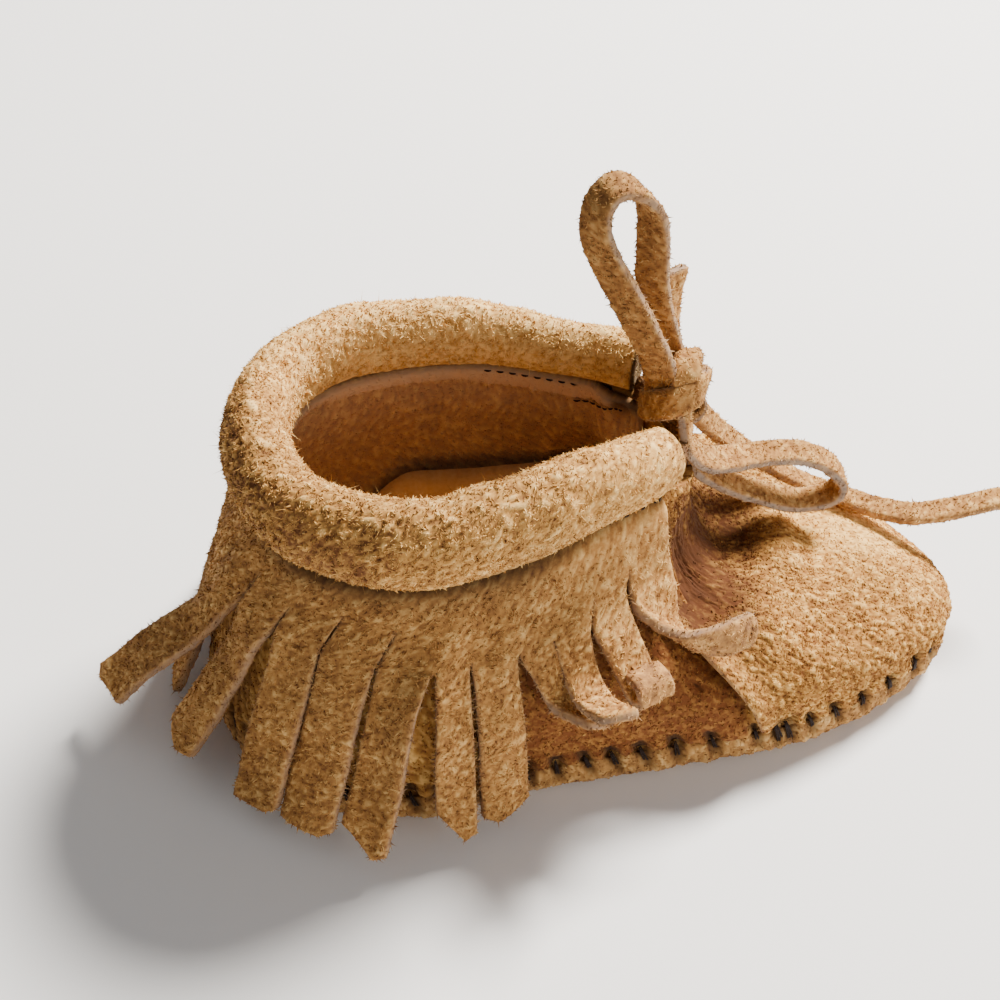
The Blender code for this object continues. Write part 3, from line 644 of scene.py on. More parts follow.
def tufts(name, verts, quads, look, per_mm2, length, radius, lean, seed, mask=None, comb=None, comb_share=0.5, lift=0.26, spread=0.13):
    """Small pointed tufts of nap rooted on a surface, each a closed three-sided spike; comb is the way the nap lies."""
    rng = np.random.default_rng(seed)
    a, b, c, d = (verts[quads[:, i]] for i in range(4))
    cross = np.cross(c - a, d - b)
    area = 0.5 * np.linalg.norm(cross, axis=1)
    weight = area * (1.0 if mask is None else mask[quads].mean(1))
    total = int(weight.sum() * per_mm2)
    pick = rng.choice(len(quads), total, p=weight / weight.sum())
    s, t = rng.random((total, 1)), rng.random((total, 1))
    root = (1 - s) * (1 - t) * a[pick] + s * (1 - t) * b[pick] + s * t * c[pick] + (1 - s) * t * d[pick]
    n = unit(cross[pick])
    tone = look[quads[pick]].mean(1)
    if tone.shape[1] == 3:
        tone = np.concatenate([tone, np.ones((total, 1))], 1)
    # neighbours lie roughly alike, so that the nap clumps
    drift = np.stack([noise(root, 2.4, seed + 50 + k) for k in range(3)], -1) * 1.6
    side = unit(np.cross(n, rng.normal(size=(total, 3)) * 0.55 + drift))
    if comb is not None:
        way = comb(root)
        way = unit(way - (way * n).sum(1)[:, None] * n)
        side = unit(side * (1 - comb_share) + way * comb_share)
    theta = np.radians(np.clip(rng.normal(lean, 13, total), 5, 84))[:, None]
    way = n * np.cos(theta) + side * np.sin(theta)
    size = (length * np.clip(rng.lognormal(-0.08, 0.36, total), 0.35, 2.3))[:, None]
    r = (radius * rng.uniform(0.65, 1.35, total))[:, None]
    across = unit(np.cross(way, n + 0.01 * side))
    top = np.cross(across, way)
    foot = root - n * 0.12
    tip = root + way * size + n * (rng.normal(0.04, 0.10, total)[:, None] * size)
    p = np.stack([foot - across * r, foot + across * r, foot + top * r * 1.1, tip], 1)
    idx = np.arange(total)[:, None] * 4
    faces = np.concatenate([idx + np.array(f) for f in ((0, 1, 3), (1, 2, 3), (2, 0, 3), (0, 2, 1))])
    vol = np.einsum("ij,ij->i", np.cross(p[:, 1] - p[:, 0], p[:, 2] - p[:, 0]), p[:, 3] - p[:, 0])
    flip = np.concatenate([vol > 0] * 4)
    faces[flip] = faces[flip][:, ::-1]
    jitter = rng.normal(0, spread, total)[:, None]
    # tuft roots darker and tips lighter: partly the nap's own colour, partly painted shade at the roots and painted
    # light at the tips
    col = np.repeat(tone[:, None, :], 4, 1)
    col[:, :3, 0] = np.clip(tone[:, None, 0] - 0.10 + jitter, 0, 1)
    col[:, 3, 0] = np.clip(tone[:, 0] + lift + jitter[:, 0], 0, 1)
    return make_mesh(name, p.reshape(-1, 3), [faces], col.reshape(-1, 4), smooth=False)
# ------------------------------------------------------------------ folds, in the shoe's own sizes
# centre x, y, z, reach along x, y, z (mm), height (mm, below zero a trough)
FOLDS = (
    (14.2, -12.5, 30.0, 5.4, 8.0, 8.0, -3.6),
    (20.0, -7.0, 27.0, 4.0, 6.0, 6.0, -0.9),
    (28.0, -2.4, 24.5, 4.6, 4.8, 5.0, 1.5),
    (24.0, -17.5, 19.0, 5.0, 4.5, 5.5, 0.9),
    (35.6, 3.5, 22.0, 2.6, 7.0, 4.0, -1.1),
    (34.5, -7.0, 20.0, 4.0, 3.0, 4.0, -0.5),
    (47.0, -2.0, 18.0, 7.5, 7.0, 4.0, 0.8),
    (55.0, -4.0, 12.0, 4.0, 6.0, 4.0, 0.5),
    (33.0, -17.0, 17.0, 8.0, 2.2, 3.5, -0.5),
    (13.0, -20.5, 24.0, 2.8, 3.0, 5.0, 0.7),
    (26.0, 13.0, 25.0, 5.0, 4.0, 5.0, -0.9),
    (20.0, 20.0, 20.0, 6.0, 3.0, 5.0, 0.8),
)


def folds(points):
    total = np.zeros(points.shape[:-1])
    for x, y, z, rx, ry, rz, h in FOLDS:
        q = ((points - np.array([x, y, z])) / np.array([rx, ry, rz])) ** 2
        total += h * np.exp(-q.sum(-1))
    return total


# seam stitches through vamp or quarter and the sole's rim: shares of the way around.
# The near side follows its uneven hand spacing; the rest is even.
near_x = (51.8, 46.8, 41.2, 36.3, 31.9, 27.9, 26.2, 22.6, 15.7, 10.1, 4.4, -0.1, -3.9, -8.5)
plan_fine = finer(plan)


def share_at_x(x):
    half = plan_fine[: len(plan_fine) // 2]
    k = int(np.argmin(np.abs(half[:, 0] - x)))
    return k / len(plan_fine)


plan_steps = np.linalg.norm(np.roll(plan_fine, -1, 0) - plan_fine, axis=1)
PERIMETER = plan_steps.sum()
stitch_shares = sorted(share_at_x(x) for x in near_x)
pitch = 4.7 / PERIMETER
s = stitch_shares[-1] + pitch
while s < 1.0 + stitch_shares[0] - 0.5 * pitch:
    stitch_shares.append(s)
    s += pitch * (1.0 + 0.10 * math.sin(s * 57.0))
stitch_shares = np.array([s % 1.0 for s in stitch_shares])


stitch_rng = np.random.default_rng(77)
stitch_size = stitch_rng.uniform(0.85, 1.12, len(stitch_shares))
stitch_slope = stitch_rng.uniform(0.16, 0.42, len(stitch_shares))
for i, share_i in enumerate(stitch_shares):
    if share_at_x(28.2) <= share_i <= share_at_x(25.9):
        stitch_size[i] = 1.45
    if share_i > 0.5:
        stitch_slope[i] *= -1.0
SLOT_MID, SLOT_HALF, SLOT_W = -1.05, 3.20, 1.35


def near_stitch(share):
    """Signed distance in mm round the foot from the nearest seam stitch, and which stitch that is."""
    share = np.asarray(share, float) % 1.0
    order = np.argsort(stitch_shares)
    ring = stitch_shares[order]
    k = np.searchsorted(ring, share)
    lo, hi = (k - 1) % len(ring), k % len(ring)
    d_lo = (share - ring[lo] + 0.5) % 1.0 - 0.5
    d_hi = (share - ring[hi] + 0.5) % 1.0 - 0.5
    use_hi = np.abs(d_hi) < np.abs(d_lo)
    return np.where(use_hi, d_hi, d_lo) * PERIMETER, order[np.where(use_hi, hi, lo)]


def slots(share, above):
    """Depth of the stitch slots in mm and how dark they are, at a height above the rim's top; the darkness is painted
    shade in the holes.
    """
    d, which = near_stitch(share)
    size = stitch_size[which]
    t = (above - SLOT_MID) / (SLOT_HALF * size)
    dd = d - stitch_slope[which] * (above - SLOT_MID)
    width = SLOT_W * size * (0.82 + 0.26 * t)
    body = np.exp(-np.clip(np.abs(dd) / np.maximum(width, 0.15), 0, 6) ** 3.2)
    ends = 1.0 / (1.0 + np.exp(np.clip((np.abs(t) - 0.92) * 9, -30, 30)))
    hole = np.exp(-(((t - 0.55) / 0.36) ** 2))
    return body * ends * (0.75 + 0.75 * hole) * size, body * ends * (0.72 + 0.28 * hole)


plan_fine_out = outward(plan_fine)
if plan_fine_out[0][0] < 0:
    plan_fine_out = -plan_fine_out


def plan_at(share):
    """Point and outward direction of the sole's outline at a share of the way around."""
    u = (np.asarray(share, float) % 1.0) * len(plan_fine)
    i = np.floor(u).astype(int) % len(plan_fine)
    j = (i + 1) % len(plan_fine)
    f = (u - np.floor(u))[..., None]
    return (1 - f) * plan_fine[i] + f * plan_fine[j], unit((1 - f) * plan_fine_out[i] + f * plan_fine_out[j])


def skirt(P, share, above):
    """Carries the upper's lower edge out over the rim, so that the two lie flush at the seam; also the slots."""
    base, out = plan_at(share)
    inset = ((base - P[..., :2]) * out).sum(-1)
    want = 0.12 + 0.10 * np.maximum(above, 0)
    w = 1 - ease((above - 0.8) / 5.0)
    reach = np.clip(inset - want, 0, 3.2) * np.where(above > -0.55, w, 0.0)
    deep, dark = slots(share, above)
    d, which = near_stitch(share)
    gather = 0.22 * (np.exp(-((d / 1.1) ** 2)) * -1.0 + 0.45) * np.exp(-np.maximum(above, 0) / 2.2) * (above > -0.6)
    reach = reach + gather - deep * (above > -0.8) * (above < 2.5)
    return np.concatenate([out * reach[..., None], np.zeros(P.shape[:-1] + (1,))], -1), dark * (above > -0.8)
# ------------------------------------------------------------------ vamp and quarter: two closed suede shells
def shell(name, outer_grid, inner_grid, look_outer, look_inner):
    """A closed shell from an outer grid and a coarser inner one with the same stations."""
    nu, nv = outer_grid.shape[:2]
    nw = inner_grid.shape[1]
    verts = np.concatenate([outer_grid.reshape(-1, 3), inner_grid.reshape(-1, 3)])
    base = nu * nv
    quads = [grid_quads(nu, nv), grid_quads(nu, nw, first=base)[:, ::-1]]
    # bottom and top edges
    u = np.arange(nu - 1)
    quads.append(np.stack([u * nv, base + u * nw, base + (u + 1) * nw, (u + 1) * nv], 1))
    quads.append(
        np.stack(
            [u * nv + nv - 1, (u + 1) * nv + nv - 1, base + (u + 1) * nw + nw - 1, base + u * nw + nw - 1], 1
        )
    )
    # side edges: fans from each inner row to its share of outer rows
    tris = []
    near = np.round(np.linspace(0, nv - 1, nw)).astype(int)
    for side, flip in ((0, False), (nu - 1, True)):
        for w in range(nw - 1):
            lo, hi = near[w], near[w + 1]
            mid = (lo + hi) // 2
            for v in range(lo, hi):
                inner_v = w if v < mid or hi - lo == 1 else w + 1
                t = (side * nv + v, side * nv + v + 1, base + side * nw + inner_v)
                tris.append(t[::-1] if flip else t)
            t = (side * nv + (mid if hi - lo > 1 else hi), base + side * nw + w + 1, base + side * nw + w)
            tris.append(t[::-1] if flip else t)
    look = np.concatenate([look_outer.reshape(-1, 4), look_inner.reshape(-1, 4)])
    obj = make_mesh(name, verts, [np.concatenate(quads), np.array(tris)], look)
    return obj, verts, quads[0], quads[1], look


# bare is how much colour stays: lowered for real stains and for painted shade
def look4(tone, edge=0.0, under=0.0, bare=1.0):
    return np.stack(np.broadcast_arrays(np.clip(tone, 0, 1), edge, under, bare), -1).astype(float)


def cracks(points, lines):
    """Depth of fine creases that follow short polylines (mm)."""
    depth = np.zeros(points.shape[:-1])
    for line, width, deep in lines:
        line = np.asarray(line, float)
        near_d = np.full(points.shape[:-1], 1e9)
        for p, q in zip(line[:-1], line[1:]):
            seg = q - p
            t = np.clip(((points - p) @ seg) / (seg @ seg), 0, 1)
            near_d = np.minimum(near_d, np.linalg.norm(points - (p + t[..., None] * seg), axis=-1))
        depth += deep * np.exp(-((near_d / width) ** 2))
    return depth


def rows_up(count, power=1.0):
    return V_FOOT + (1.0 - V_FOOT) * np.linspace(0, 1, count) ** power


V_FOOT = 0.03


def vamp_edge(v, near_side=True):
    """Share of the way around where the vamp's side edge runs at each height."""
    foot, top = (0.153, 0.204) if near_side else (0.141, 0.200)
    return foot + (top - foot) * ease(np.asarray(v) * 1.25)


def piece_grid(lo_share, hi_share, nu, v_rows):
    """Shares and heights of a grid whose side edges follow two lines."""
    a = np.linspace(0, 1, nu)[:, None]
    lo, hi = lo_share(v_rows)[None], hi_share(v_rows)[None]
    return lo + (hi - lo) * a, np.broadcast_to(v_rows[None], (nu, len(v_rows)))


# vamp
VN_U, VN_V, VN_W = 321, 118, 20
v_rows = rows_up(VN_V, 1.12)
sh, vv = piece_grid(lambda v: -vamp_edge(v, False), lambda v: vamp_edge(v, True), VN_U, v_rows)
P, N = on_skin(sh, vv)
above = P[..., 2] - RIM_TOP - lift_of(P[..., 0])
side_left = np.abs(np.where(sh > 0, vamp_edge(vv, True) - sh, vamp_edge(vv, False) + sh)) * PERIMETER
edge_flare = 1.9 * np.exp(-((side_left / 3.4) ** 2)) * ease((above + 1.0) / 5.0) * (1 - 0.9 * ease((vv - 0.84) / 0.12))
smooth_top = np.exp(-(((P[..., 0] - 44) / 11) ** 2) - (((P[..., 1] - 3) / 9) ** 2)) * ease((P[..., 2] - 14) / 3)
height, tone = nap(P, 3, amount=0.56, clump=0.8)
push, dark = skirt(P, sh, above)
form = folds(P) + edge_flare + 0.38 * noise(P, 11.0, 20) + 0.2
# a proud piping ridge with a groove inside it runs round the far edge of the toe
far_side = ease((P[..., 1] + 2.0) / 7.0) * ease((P[..., 0] - 24.0) / 8.0)
form += far_side * (0.75 * np.exp(-(((above - 2.0) / 1.5) ** 2)) - 0.75 * np.exp(-(((above - 5.6) / 1.3) ** 2)))
lower = np.clip((above + 0.4) / 1.6, 0, 1)
visible = np.where(above > -0.55, 1.0, 0.1)
vamp_out = P + N * (form * lower + height * visible * (1 - 0.55 * smooth_top))[..., None] + push
v_in = rows_up(VN_W)
sh_i, vv_i = piece_grid(lambda v: -vamp_edge(v, False), lambda v: vamp_edge(v, True), VN_U, v_in)
Pi, Ni = on_skin(sh_i, vv_i)
above_i = Pi[..., 2] - RIM_TOP - lift_of(Pi[..., 0])
side_i = np.abs(np.where(sh_i > 0, vamp_edge(vv_i, True) - sh_i, vamp_edge(vv_i, False) + sh_i)) * PERIMETER
flare_i = 1.9 * np.exp(-((side_i / 3.4) ** 2)) * ease((above_i + 1.0) / 5.0) * (1 - 0.9 * ease((vv_i - 0.84) / 0.12))
vamp_in = (
    Pi
    + Ni
    * (folds(Pi) * np.clip((above_i + 0.4) / 1.6, 0, 1) + flare_i - SUEDE + 0.2 + 0.08 * noise(Pi, 1.5, 31))[..., None]
)
edge_mask = np.exp(-((side_left / 0.25) ** 2)) * 0.45 * (1 - ease((vv - 0.80) / 0.12))
# lighter on the smooth top of the toe: partly worn nap, partly painted light on the lit top
top_wear_and_light = 0.34 * smooth_top + 0.05 * noise(P, 14.0, 90)
# painted shadow of the lace loop and knot, with painted shade, in the trough behind the cuff's front edge: darker nap
# colour and dimming there
painted_shadow = np.sqrt((((P - np.array([14.6, -12.2, 29.6])) / np.array([8.2, 10.5, 11.5])) ** 2).sum(-1))
painted_shadow_low = np.sqrt((((P - np.array([21.0, 1.0, 25.0])) / np.array([7.0, 8.5, 7.0])) ** 2).sum(-1))
painted_shadow_top = np.sqrt((((P - np.array([15.0, -4.0, 29.5])) / np.array([8.6, 7.6, 9.5])) ** 2).sum(-1))
painted_shadow, painted_shadow_low, painted_shadow_top = (1.0 / (1.0 + np.exp(np.clip((t_ - 1.0) * 4.6, -30, 30))) for t_ in (painted_shadow, painted_shadow_low, painted_shadow_top))
painted_shadow = (1 + 0.26 * noise(P, 3.2, 92) + 0.14 * noise(P, 1.1, 94)) * np.clip(np.maximum(np.maximum(painted_shadow, 0.75 * painted_shadow_low), 0.95 * painted_shadow_top), 0, 1)
# the +0.10 tone on the far piping ridge's crest is a painted highlight
look_o = look4(
    (tone + top_wear_and_light) * (1 - 0.76 * painted_shadow) - 0.10 * painted_shadow + 0.10 * far_side * np.exp(-(((above - 2.0) / 1.6) ** 2)),
    edge_mask * (1 - painted_shadow),
    0.0,
    (1 - 0.96 * np.clip(dark, 0, 1)) * (1 - 0.56 * painted_shadow),
)
look_i = look4(0.42 + 0.2 * noise(Pi, 1.2, 33), 0.30 * np.exp(-((side_i / 0.4) ** 2)))


def far_corner(points):
    """How near a point is to the shell's top corner under the roll's far end, where no light comes."""
    return np.exp(-((np.linalg.norm(points - np.array([5.4, 9.6, 45.0]), axis=-1) / 2.8) ** 2))


look_o[..., 3] *= 1 - 0.88 * far_corner(P)
look_i[..., 3] *= 1 - 0.88 * far_corner(Pi)
vamp, vamp_v, vamp_q, _, vamp_look = shell("vamp", vamp_out, vamp_in, look_o, look_i)
finish_piece(vamp, suede_upper, "upper", "upper")

# quarter, round the heel from vamp edge to vamp edge, tucked under it
QN_U, QN_V, QN_W = 361, 60, 40
q_rows = rows_up(QN_V)


def tuck(v):
    return 0.030 + 0.026 * ease((np.asarray(v) - 0.55) / 0.3)


def quarter_lo(v):
    return vamp_edge(v, True) - tuck(v)


def quarter_hi(v):
    return 1.0 - vamp_edge(v, False) + tuck(v)


sh, vv = piece_grid(quarter_lo, quarter_hi, QN_U, q_rows)
P, N = on_skin(sh, vv)
above = P[..., 2] - RIM_TOP - lift_of(P[..., 0])
past = np.minimum(sh - vamp_edge(vv, True), 1.0 - vamp_edge(vv, False) - sh) * PERIMETER
sunk = -1.9 * (1 - ease((past + 1.0) / 9.0)) * np.clip((above + 1.2) / 1.2, 0, 1)
height, tone = nap(P, 7, amount=0.60, clump=0.85)
QUARTER_CREASES = (
    (((6.0, -27.5, 19.0), (9.0, -26.5, 20.5), (12.0, -25.5, 19.0), (13.2, -25.2, 15.5), (12.4, -26.5, 12.0)), 0.5, 1.1),
    (((2.0, -28.8, 14.0), (6.0, -28.2, 12.5), (9.5, -27.6, 13.5)), 0.4, 0.7),
    (((-47.0, -24.0, 16.0), (-42.0, -27.5, 12.0), (-36.0, -30.0, 13.0)), 0.6, 0.6),
)
crack = cracks(P, QUARTER_CREASES)
push, dark = skirt(P, sh, above)
form = 0.5 * noise(P, 9.0, 23) - crack
lower = np.clip((above + 0.4) / 1.6, 0, 1)
under_cuff = ease((SEAM_Z - BAND - P[..., 2] + 2.0) / 3.0)
visible = np.where(above > -0.55, 1.0, 0.1)
quarter_out = (
    P
    + N * (form * lower * (0.25 + 0.75 * under_cuff) + sunk * ease((above - 1.0) / 5.0) + height * (0.3 + 0.7 * under_cuff) * visible)[..., None]
    + push
)
q_in = rows_up(QN_W)
sh_i, vv_i = piece_grid(quarter_lo, quarter_hi, QN_U, q_in)
Pi, Ni = on_skin(sh_i, vv_i)
past_i = np.minimum(sh_i - vamp_edge(vv_i, True), 1.0 - vamp_edge(vv_i, False) - sh_i) * PERIMETER
sunk_i = -1.9 * (1 - ease((past_i + 1.0) / 9.0)) * np.clip((Pi[..., 2] - 6) / 3.0, 0, 1)
# facing: the collar's suede folds inside and ends in a hem, sewn down near the front
hem_z = np.interp(sh_i, [0.70, 0.765, 0.812], [40.2, 40.6, 44.0]) + 0.25 * np.sin(sh_i * 40)
seam_here = SEAM_Z + rise_at(Pi[..., 0], Pi[..., 1])
facing = 0.55 * ease((Pi[..., 2] - hem_z) / 0.9)
hem_line = np.exp(-(((Pi[..., 2] - hem_z + 0.1) / 0.45) ** 2))
seam_line = np.exp(-(((Pi[..., 2] - seam_here + 0.35) / 0.40) ** 2)) * (Pi[..., 1] > 0)
hem_line = hem_line * ease((Pi[..., 0] + 7.0) / 4.0)
fold = (
    0.8
    * np.exp(-(((Pi[..., 0] + 1.5 + 0.12 * (30 - Pi[..., 2])) / 1.1) ** 2))
    * ease((31.0 - Pi[..., 2]) / 3.0)
    * (Pi[..., 1] > 0)
)
h_i, t_i = nap(Pi, 41, amount=0.62, clump=0.95)
wall_nap = h_i + 0.30 * noise(Pi, 8.0, 43)
thick = SUEDE - 0.15 + facing + fold + wall_nap - 0.35 * hem_line - 0.4 * seam_line
thick = np.clip(thick, 0.8, SUEDE + 1.3)
quarter_in = Pi + Ni * (sunk_i - thick)[..., None]
# painted shade in the quarter's colour: darker where the cuff covers it, on the near front under the curled strips, and
# in the creases
painted_shade_front = ease((P[..., 0] + 24.0) / 10.0) * (1 - ease((P[..., 0] - 19.0) / 3.0)) * (P[..., 1] < 0)
look_o = look4(tone * (0.75 + 0.25 * under_cuff) * (1 - 0.72 * painted_shade_front) - 0.35 * np.clip(crack, 0, 1), 0.0, 0.0, (1 - 0.96 * np.clip(dark, 0, 1)) * (1 - 0.75 * np.clip(crack - 0.3, 0, 1)))

INK = (((-34.5, 17.8, 28.5), 1.0), ((-31.5, 17.0, 20.0), 1.2))
ink = sum(np.exp(-((np.linalg.norm(Pi - np.array(c), axis=-1) / r) ** 2)) for c, r in INK)
bare_i = 1 - 0.55 * np.clip(hem_line + seam_line, 0, 1) - 0.8 * np.clip(ink, 0, 1) * (0.6 + 0.6 * noise(Pi, 0.9, 47))
# inside: the facing above the hem gets the smooth underside mix, its own surface; its lighter tone is painted light,
# and the extra dimming of the wall below it is painted shade
lining = ease((Pi[..., 2] - hem_z) / 0.9) * (Pi[..., 1] > 0)

look_i = look4(t_i * 1.15 - 0.02 + 0.36 * lining, 0.0, 0.50 + 0.38 * lining, np.clip(bare_i, 0.05, 1) * (0.88 + 0.12 * lining))
look_o[..., 3] *= 1 - 0.88 * far_corner(P)
look_i[..., 3] *= 1 - 0.88 * far_corner(Pi)
quarter, quarter_v, quarter_q, quarter_qi, quarter_look = shell("quarter", quarter_out, quarter_in, look_o, look_i)
finish_piece(quarter, suede_upper, "upper", "upper")

# ------------------------------------------------------------------ sole: flat underfoot, gathered turned-up rim
SN_TIMES = 12
SN_U = AROUND * SN_TIMES
plan_s = finer(plan, SN_TIMES)
sole_out = outward(plan_s)
if sole_out[0][0] < 0:
    sole_out = -sole_out
sole_share = np.arange(SN_U) / SN_U
# inset and height of the profile from the underside up the outside, over the top and down inside
SOLE_PROFILE = (
    (5.5, 0.0, 0.0),
    (3.4, 0.03, 0.3),
    (2.2, 0.22, 0.6),
    (1.2, 0.75, 0.9),
    (0.55, 1.4, 1.0),
    (0.15, 2.2, 1.0),
    (0.0, 3.2, 1.0),
    (0.0, 4.2, 1.0),
    (0.05, 5.3, 1.0),
    (0.15, 6.2, 1.0),
    (0.60, 6.75, 1.0),
    (1.30, 6.9, 1.0),
    (1.95, 6.6, 1.0),
    (2.12, 5.6, 1.0),
    (2.10, 2.5, 1.0),
    (3.0, 2.0, 0.55),
    (6.5, SOLE_FLOOR, 0.0),
)
prof = smooth_line([(a, b, c) for a, b, c in SOLE_PROFILE], 31, plan=True, fine_steps=16)
prof[:, 1] = np.maximum(prof[:, 1], 0.0)
inset, pz, lifted = prof.T
base = plan_s[:, None, :] - sole_out[:, None, :] * inset[None, :, None]
z = pz[None, :] + lifted[None, :] * lift_of(plan_s[:, 0])[:, None]
S = np.concatenate([base, z[..., None]], -1)
SNrm = grid_normals(S, periodic_u=True)
if ((S[:, 5:15] - S.mean((0, 1))) * SNrm[:, 5:15]).sum() < 0:
    SNrm = -SNrm
share_s = np.broadcast_to(sole_share[:, None], S.shape[:2])
above = S[..., 2] - RIM_TOP - lift_of(plan_s[:, 0])[:, None]
deep, dark = slots(share_s, above)
d, which = near_stitch(share_s)
outside = (inset[None, :] < 1.3) * ease((S[..., 2] - 0.6) / 1.2)
height, tone = nap(S, 13, amount=0.8, clump=1.1)
free = ease((S[..., 2] - 0.05) / 1.0) * (inset[None, :] < 2.0)
groove = np.exp(-((d / 1.0) ** 2)) * ease((above + 4.5) / 3.0)
push = (-0.30 * groove + 0.10) * outside - deep * outside + height * free + 0.30 * noise(S, 6.0, 51) * free
push = np.where(S[..., 2] < 0.06, 0, push)
S2 = S + SNrm * push[..., None]
S2[..., 2] = np.maximum(S2[..., 2], 0.0)


def draw_in(ring, share, zval):
    out = ring.copy()
    spine_x = np.clip(ring[:, 0], -32.0, 34.0)
    out[:, 0] = ring[:, 0] + (spine_x - ring[:, 0]) * share
    out[:, 1] = ring[:, 1] + (-2.0 - ring[:, 1]) * share
    out[:, 2] = zval
    return out


low_rings = [draw_in(S[:, 0], t, 0.0) for t in (0.7, 0.35)]
high_rings = [draw_in(S[:, -1], t, SOLE_FLOOR) for t in (0.6,)]
G = np.stack(low_rings + [S2[:, k] for k in range(S2.shape[1])] + high_rings, 1)
nv = G.shape[1]
look = look4(0.42 + 0.15 * noise(G, 2.0, 55), 0.0, 0.0, np.ones(G.shape[:2]))
n_low = len(low_rings)
rim_cols = slice(n_low, n_low + S.shape[1])
rub = ease((2.6 - S[..., 2]) / 2.0) * free
# darker in the grooves beside the stitches and dimmed in the slots: painted shade
look[:, rim_cols, 0] = np.clip(tone * 0.92 + 0.05 - 0.12 * groove * outside + 0.10 * rub, 0, 1)
look[:, rim_cols, 2] = 0.30 * rub
look[:, rim_cols, 3] = 1 - 0.96 * np.clip(dark * outside, 0, 1)
look[:, :3, 2] = 0.45
caps_low = (np.arange(SN_U) * nv)[None, ::-1]
caps_high = (np.arange(SN_U) * nv + nv - 1)[None, :]
sole_q = grid_quads(SN_U, nv, periodic_u=True)
fq = sole_q[nv * 40 + n_low + 8]
fv = G.reshape(-1, 3)
if np.cross(fv[fq[2]] - fv[fq[0]], fv[fq[3]] - fv[fq[1]]) @ SNrm.reshape(-1, 3)[40 * S.shape[1] + 8] < 0:
    sole_q = sole_q[:, ::-1]
    caps_low, caps_high = caps_low[:, ::-1], caps_high[:, ::-1]
sole = make_mesh("sole_tray", fv, [sole_q, caps_low, caps_high], look.reshape(-1, 4))
finish_piece(sole, suede_sole, "sole", "sole")
sole_v, sole_look = fv, look.reshape(-1, 4)

# ------------------------------------------------------------------ insole
pad_out = outward(plan)
if pad_out[0][0] < 0:
    pad_out = -pad_out
INSOLE_CLEAR = LAP_INSET + SUEDE + 0.7
pad_edge = finer(plan - pad_out * INSOLE_CLEAR, 5)


def pad_ring(inset, z, curl):
    ring = pad_edge
    spine = np.stack([np.clip(ring[:, 0], -30.0, 34.0), np.full(len(ring), -2.0)], 1)
    reach = spine - ring
    ring = ring + reach * (inset / np.linalg.norm(reach, axis=1))[:, None]
    rise = (CURL + 2.6) * ease((ring[:, 1] - 4.0) / 19.0) * ease((33.0 - np.abs(ring[:, 0] + 12.0)) / 20.0)
    return np.stack([ring[:, 0], ring[:, 1], z + (rise + lift_of(ring[:, 0])) * curl], 1)


PAD_LOW = SOLE_FLOOR + 0.35
PAD_ROWS = (
    (14.0, 0.0, 0.0),
    (6.0, 0.0, 0.35),
    (0.4, 0.1, 1.0),
    (0.0, 0.8, 1.0),
    (0.4, 1.45, 1.0),
    (2.0, 1.58, 0.8),
    (4.0, 1.6, 0.55),
    (6.0, 1.6, 0.35),
    (9.0, 1.6, 0.16),
    (12.0, 1.6, 0.05),
    (14.0, 1.6, 0.0),
)
pad = np.stack([pad_ring(a, PAD_LOW + b, c) for a, b, c in PAD_ROWS], 1)
pad[:, 4:, 2] += 0.16 * noise(pad[:, 4:], 7.0, 61) + 0.05 * noise(pad[:, 4:], 1.4, 62)
npad = len(pad_edge)
look = look4(0.55 + 0.25 * noise(pad, 1.6, 63) + 0.1 * noise(pad, 6.0, 64), 0.0, 0.0, 1.0)
look[:, 2:5, 1] = 0.3
insole = make_mesh(
    "insole_pad",
    pad.reshape(-1, 3),
    [
        grid_quads(npad, len(PAD_ROWS), periodic_u=True),
        (np.arange(npad) * len(PAD_ROWS))[None, ::-1],
        (np.arange(npad) * len(PAD_ROWS) + len(PAD_ROWS) - 1)[None, :],
    ],
    look.reshape(-1, 4),
)
finish_piece(insole, suede_insole, "insole", "insole")

# ------------------------------------------------------------------ collar roll
CN_U, CN_V = 350, 96
roll = smooth_line(COLLAR_LINE, CN_U)
roll_out = outward(roll[:, :2], closed=False)
if roll_out[CN_U // 2][0] > 0:
    roll_out = -roll_out
ang = 2 * np.pi * np.arange(CN_V) / CN_V
near_front = ease((roll[:, 0] + 10.0) / 15.0) * (roll[:, 1] < 0)


def roll_section(k, scale, slide):
    x, y, s_ = roll[k]
    n = roll_out[k]
    along = np.array([-n[1], n[0]])
    c, sn = np.cos(ang), np.sin(ang)
    r = COLLAR_HALF_W * s_ * scale * c
    flat = 1.0 - 0.04 * near_front[k]
    zz = SEAM_Z + GAP - 0.40 + rise_at(x, y) + COLLAR_HALF_H * s_ * (1.0 + scale * flat * sn)
    p = np.array([x, y])[None] + n[None] * r[:, None] + along[None] * slide
    return np.concatenate([p, zz[:, None]], 1)


def roll_toeward(k):
    n = roll_out[k]
    return 1.0 if -n[1] > 0 else -1.0


END_CAPS = ((0.20, 0.62), (0.42, 0.72), (0.60, 0.90), (0.78, 0.98), (0.90, 0.86), (0.965, 0.55), (0.992, 0.25))
rings = [roll_section(0, sc, sl * roll_toeward(0)) for sc, sl in END_CAPS]
rings += [roll_section(k, 1.0, 0.0) for k in range(CN_U)]
rings += [roll_section(CN_U - 1, sc, sl * roll_toeward(CN_U - 1)) for sc, sl in END_CAPS[::-1]]
R = np.stack(rings, 0)
RN = grid_normals(R, periodic_v=True)
seam_ring = SEAM_Z + np.broadcast_to(rise_at(R.mean(1)[:, 0], R.mean(1)[:, 1])[:, None], R.shape[:2])
centre = R.mean(1, keepdims=True)
if ((R - centre) * RN).sum() < 0:
    RN = -RN
end_n = len(END_CAPS)
for k in range(end_n - 2):
    RN[k] = RN[end_n - 2]
    RN[-1 - k] = RN[-1 - (end_n - 2)]
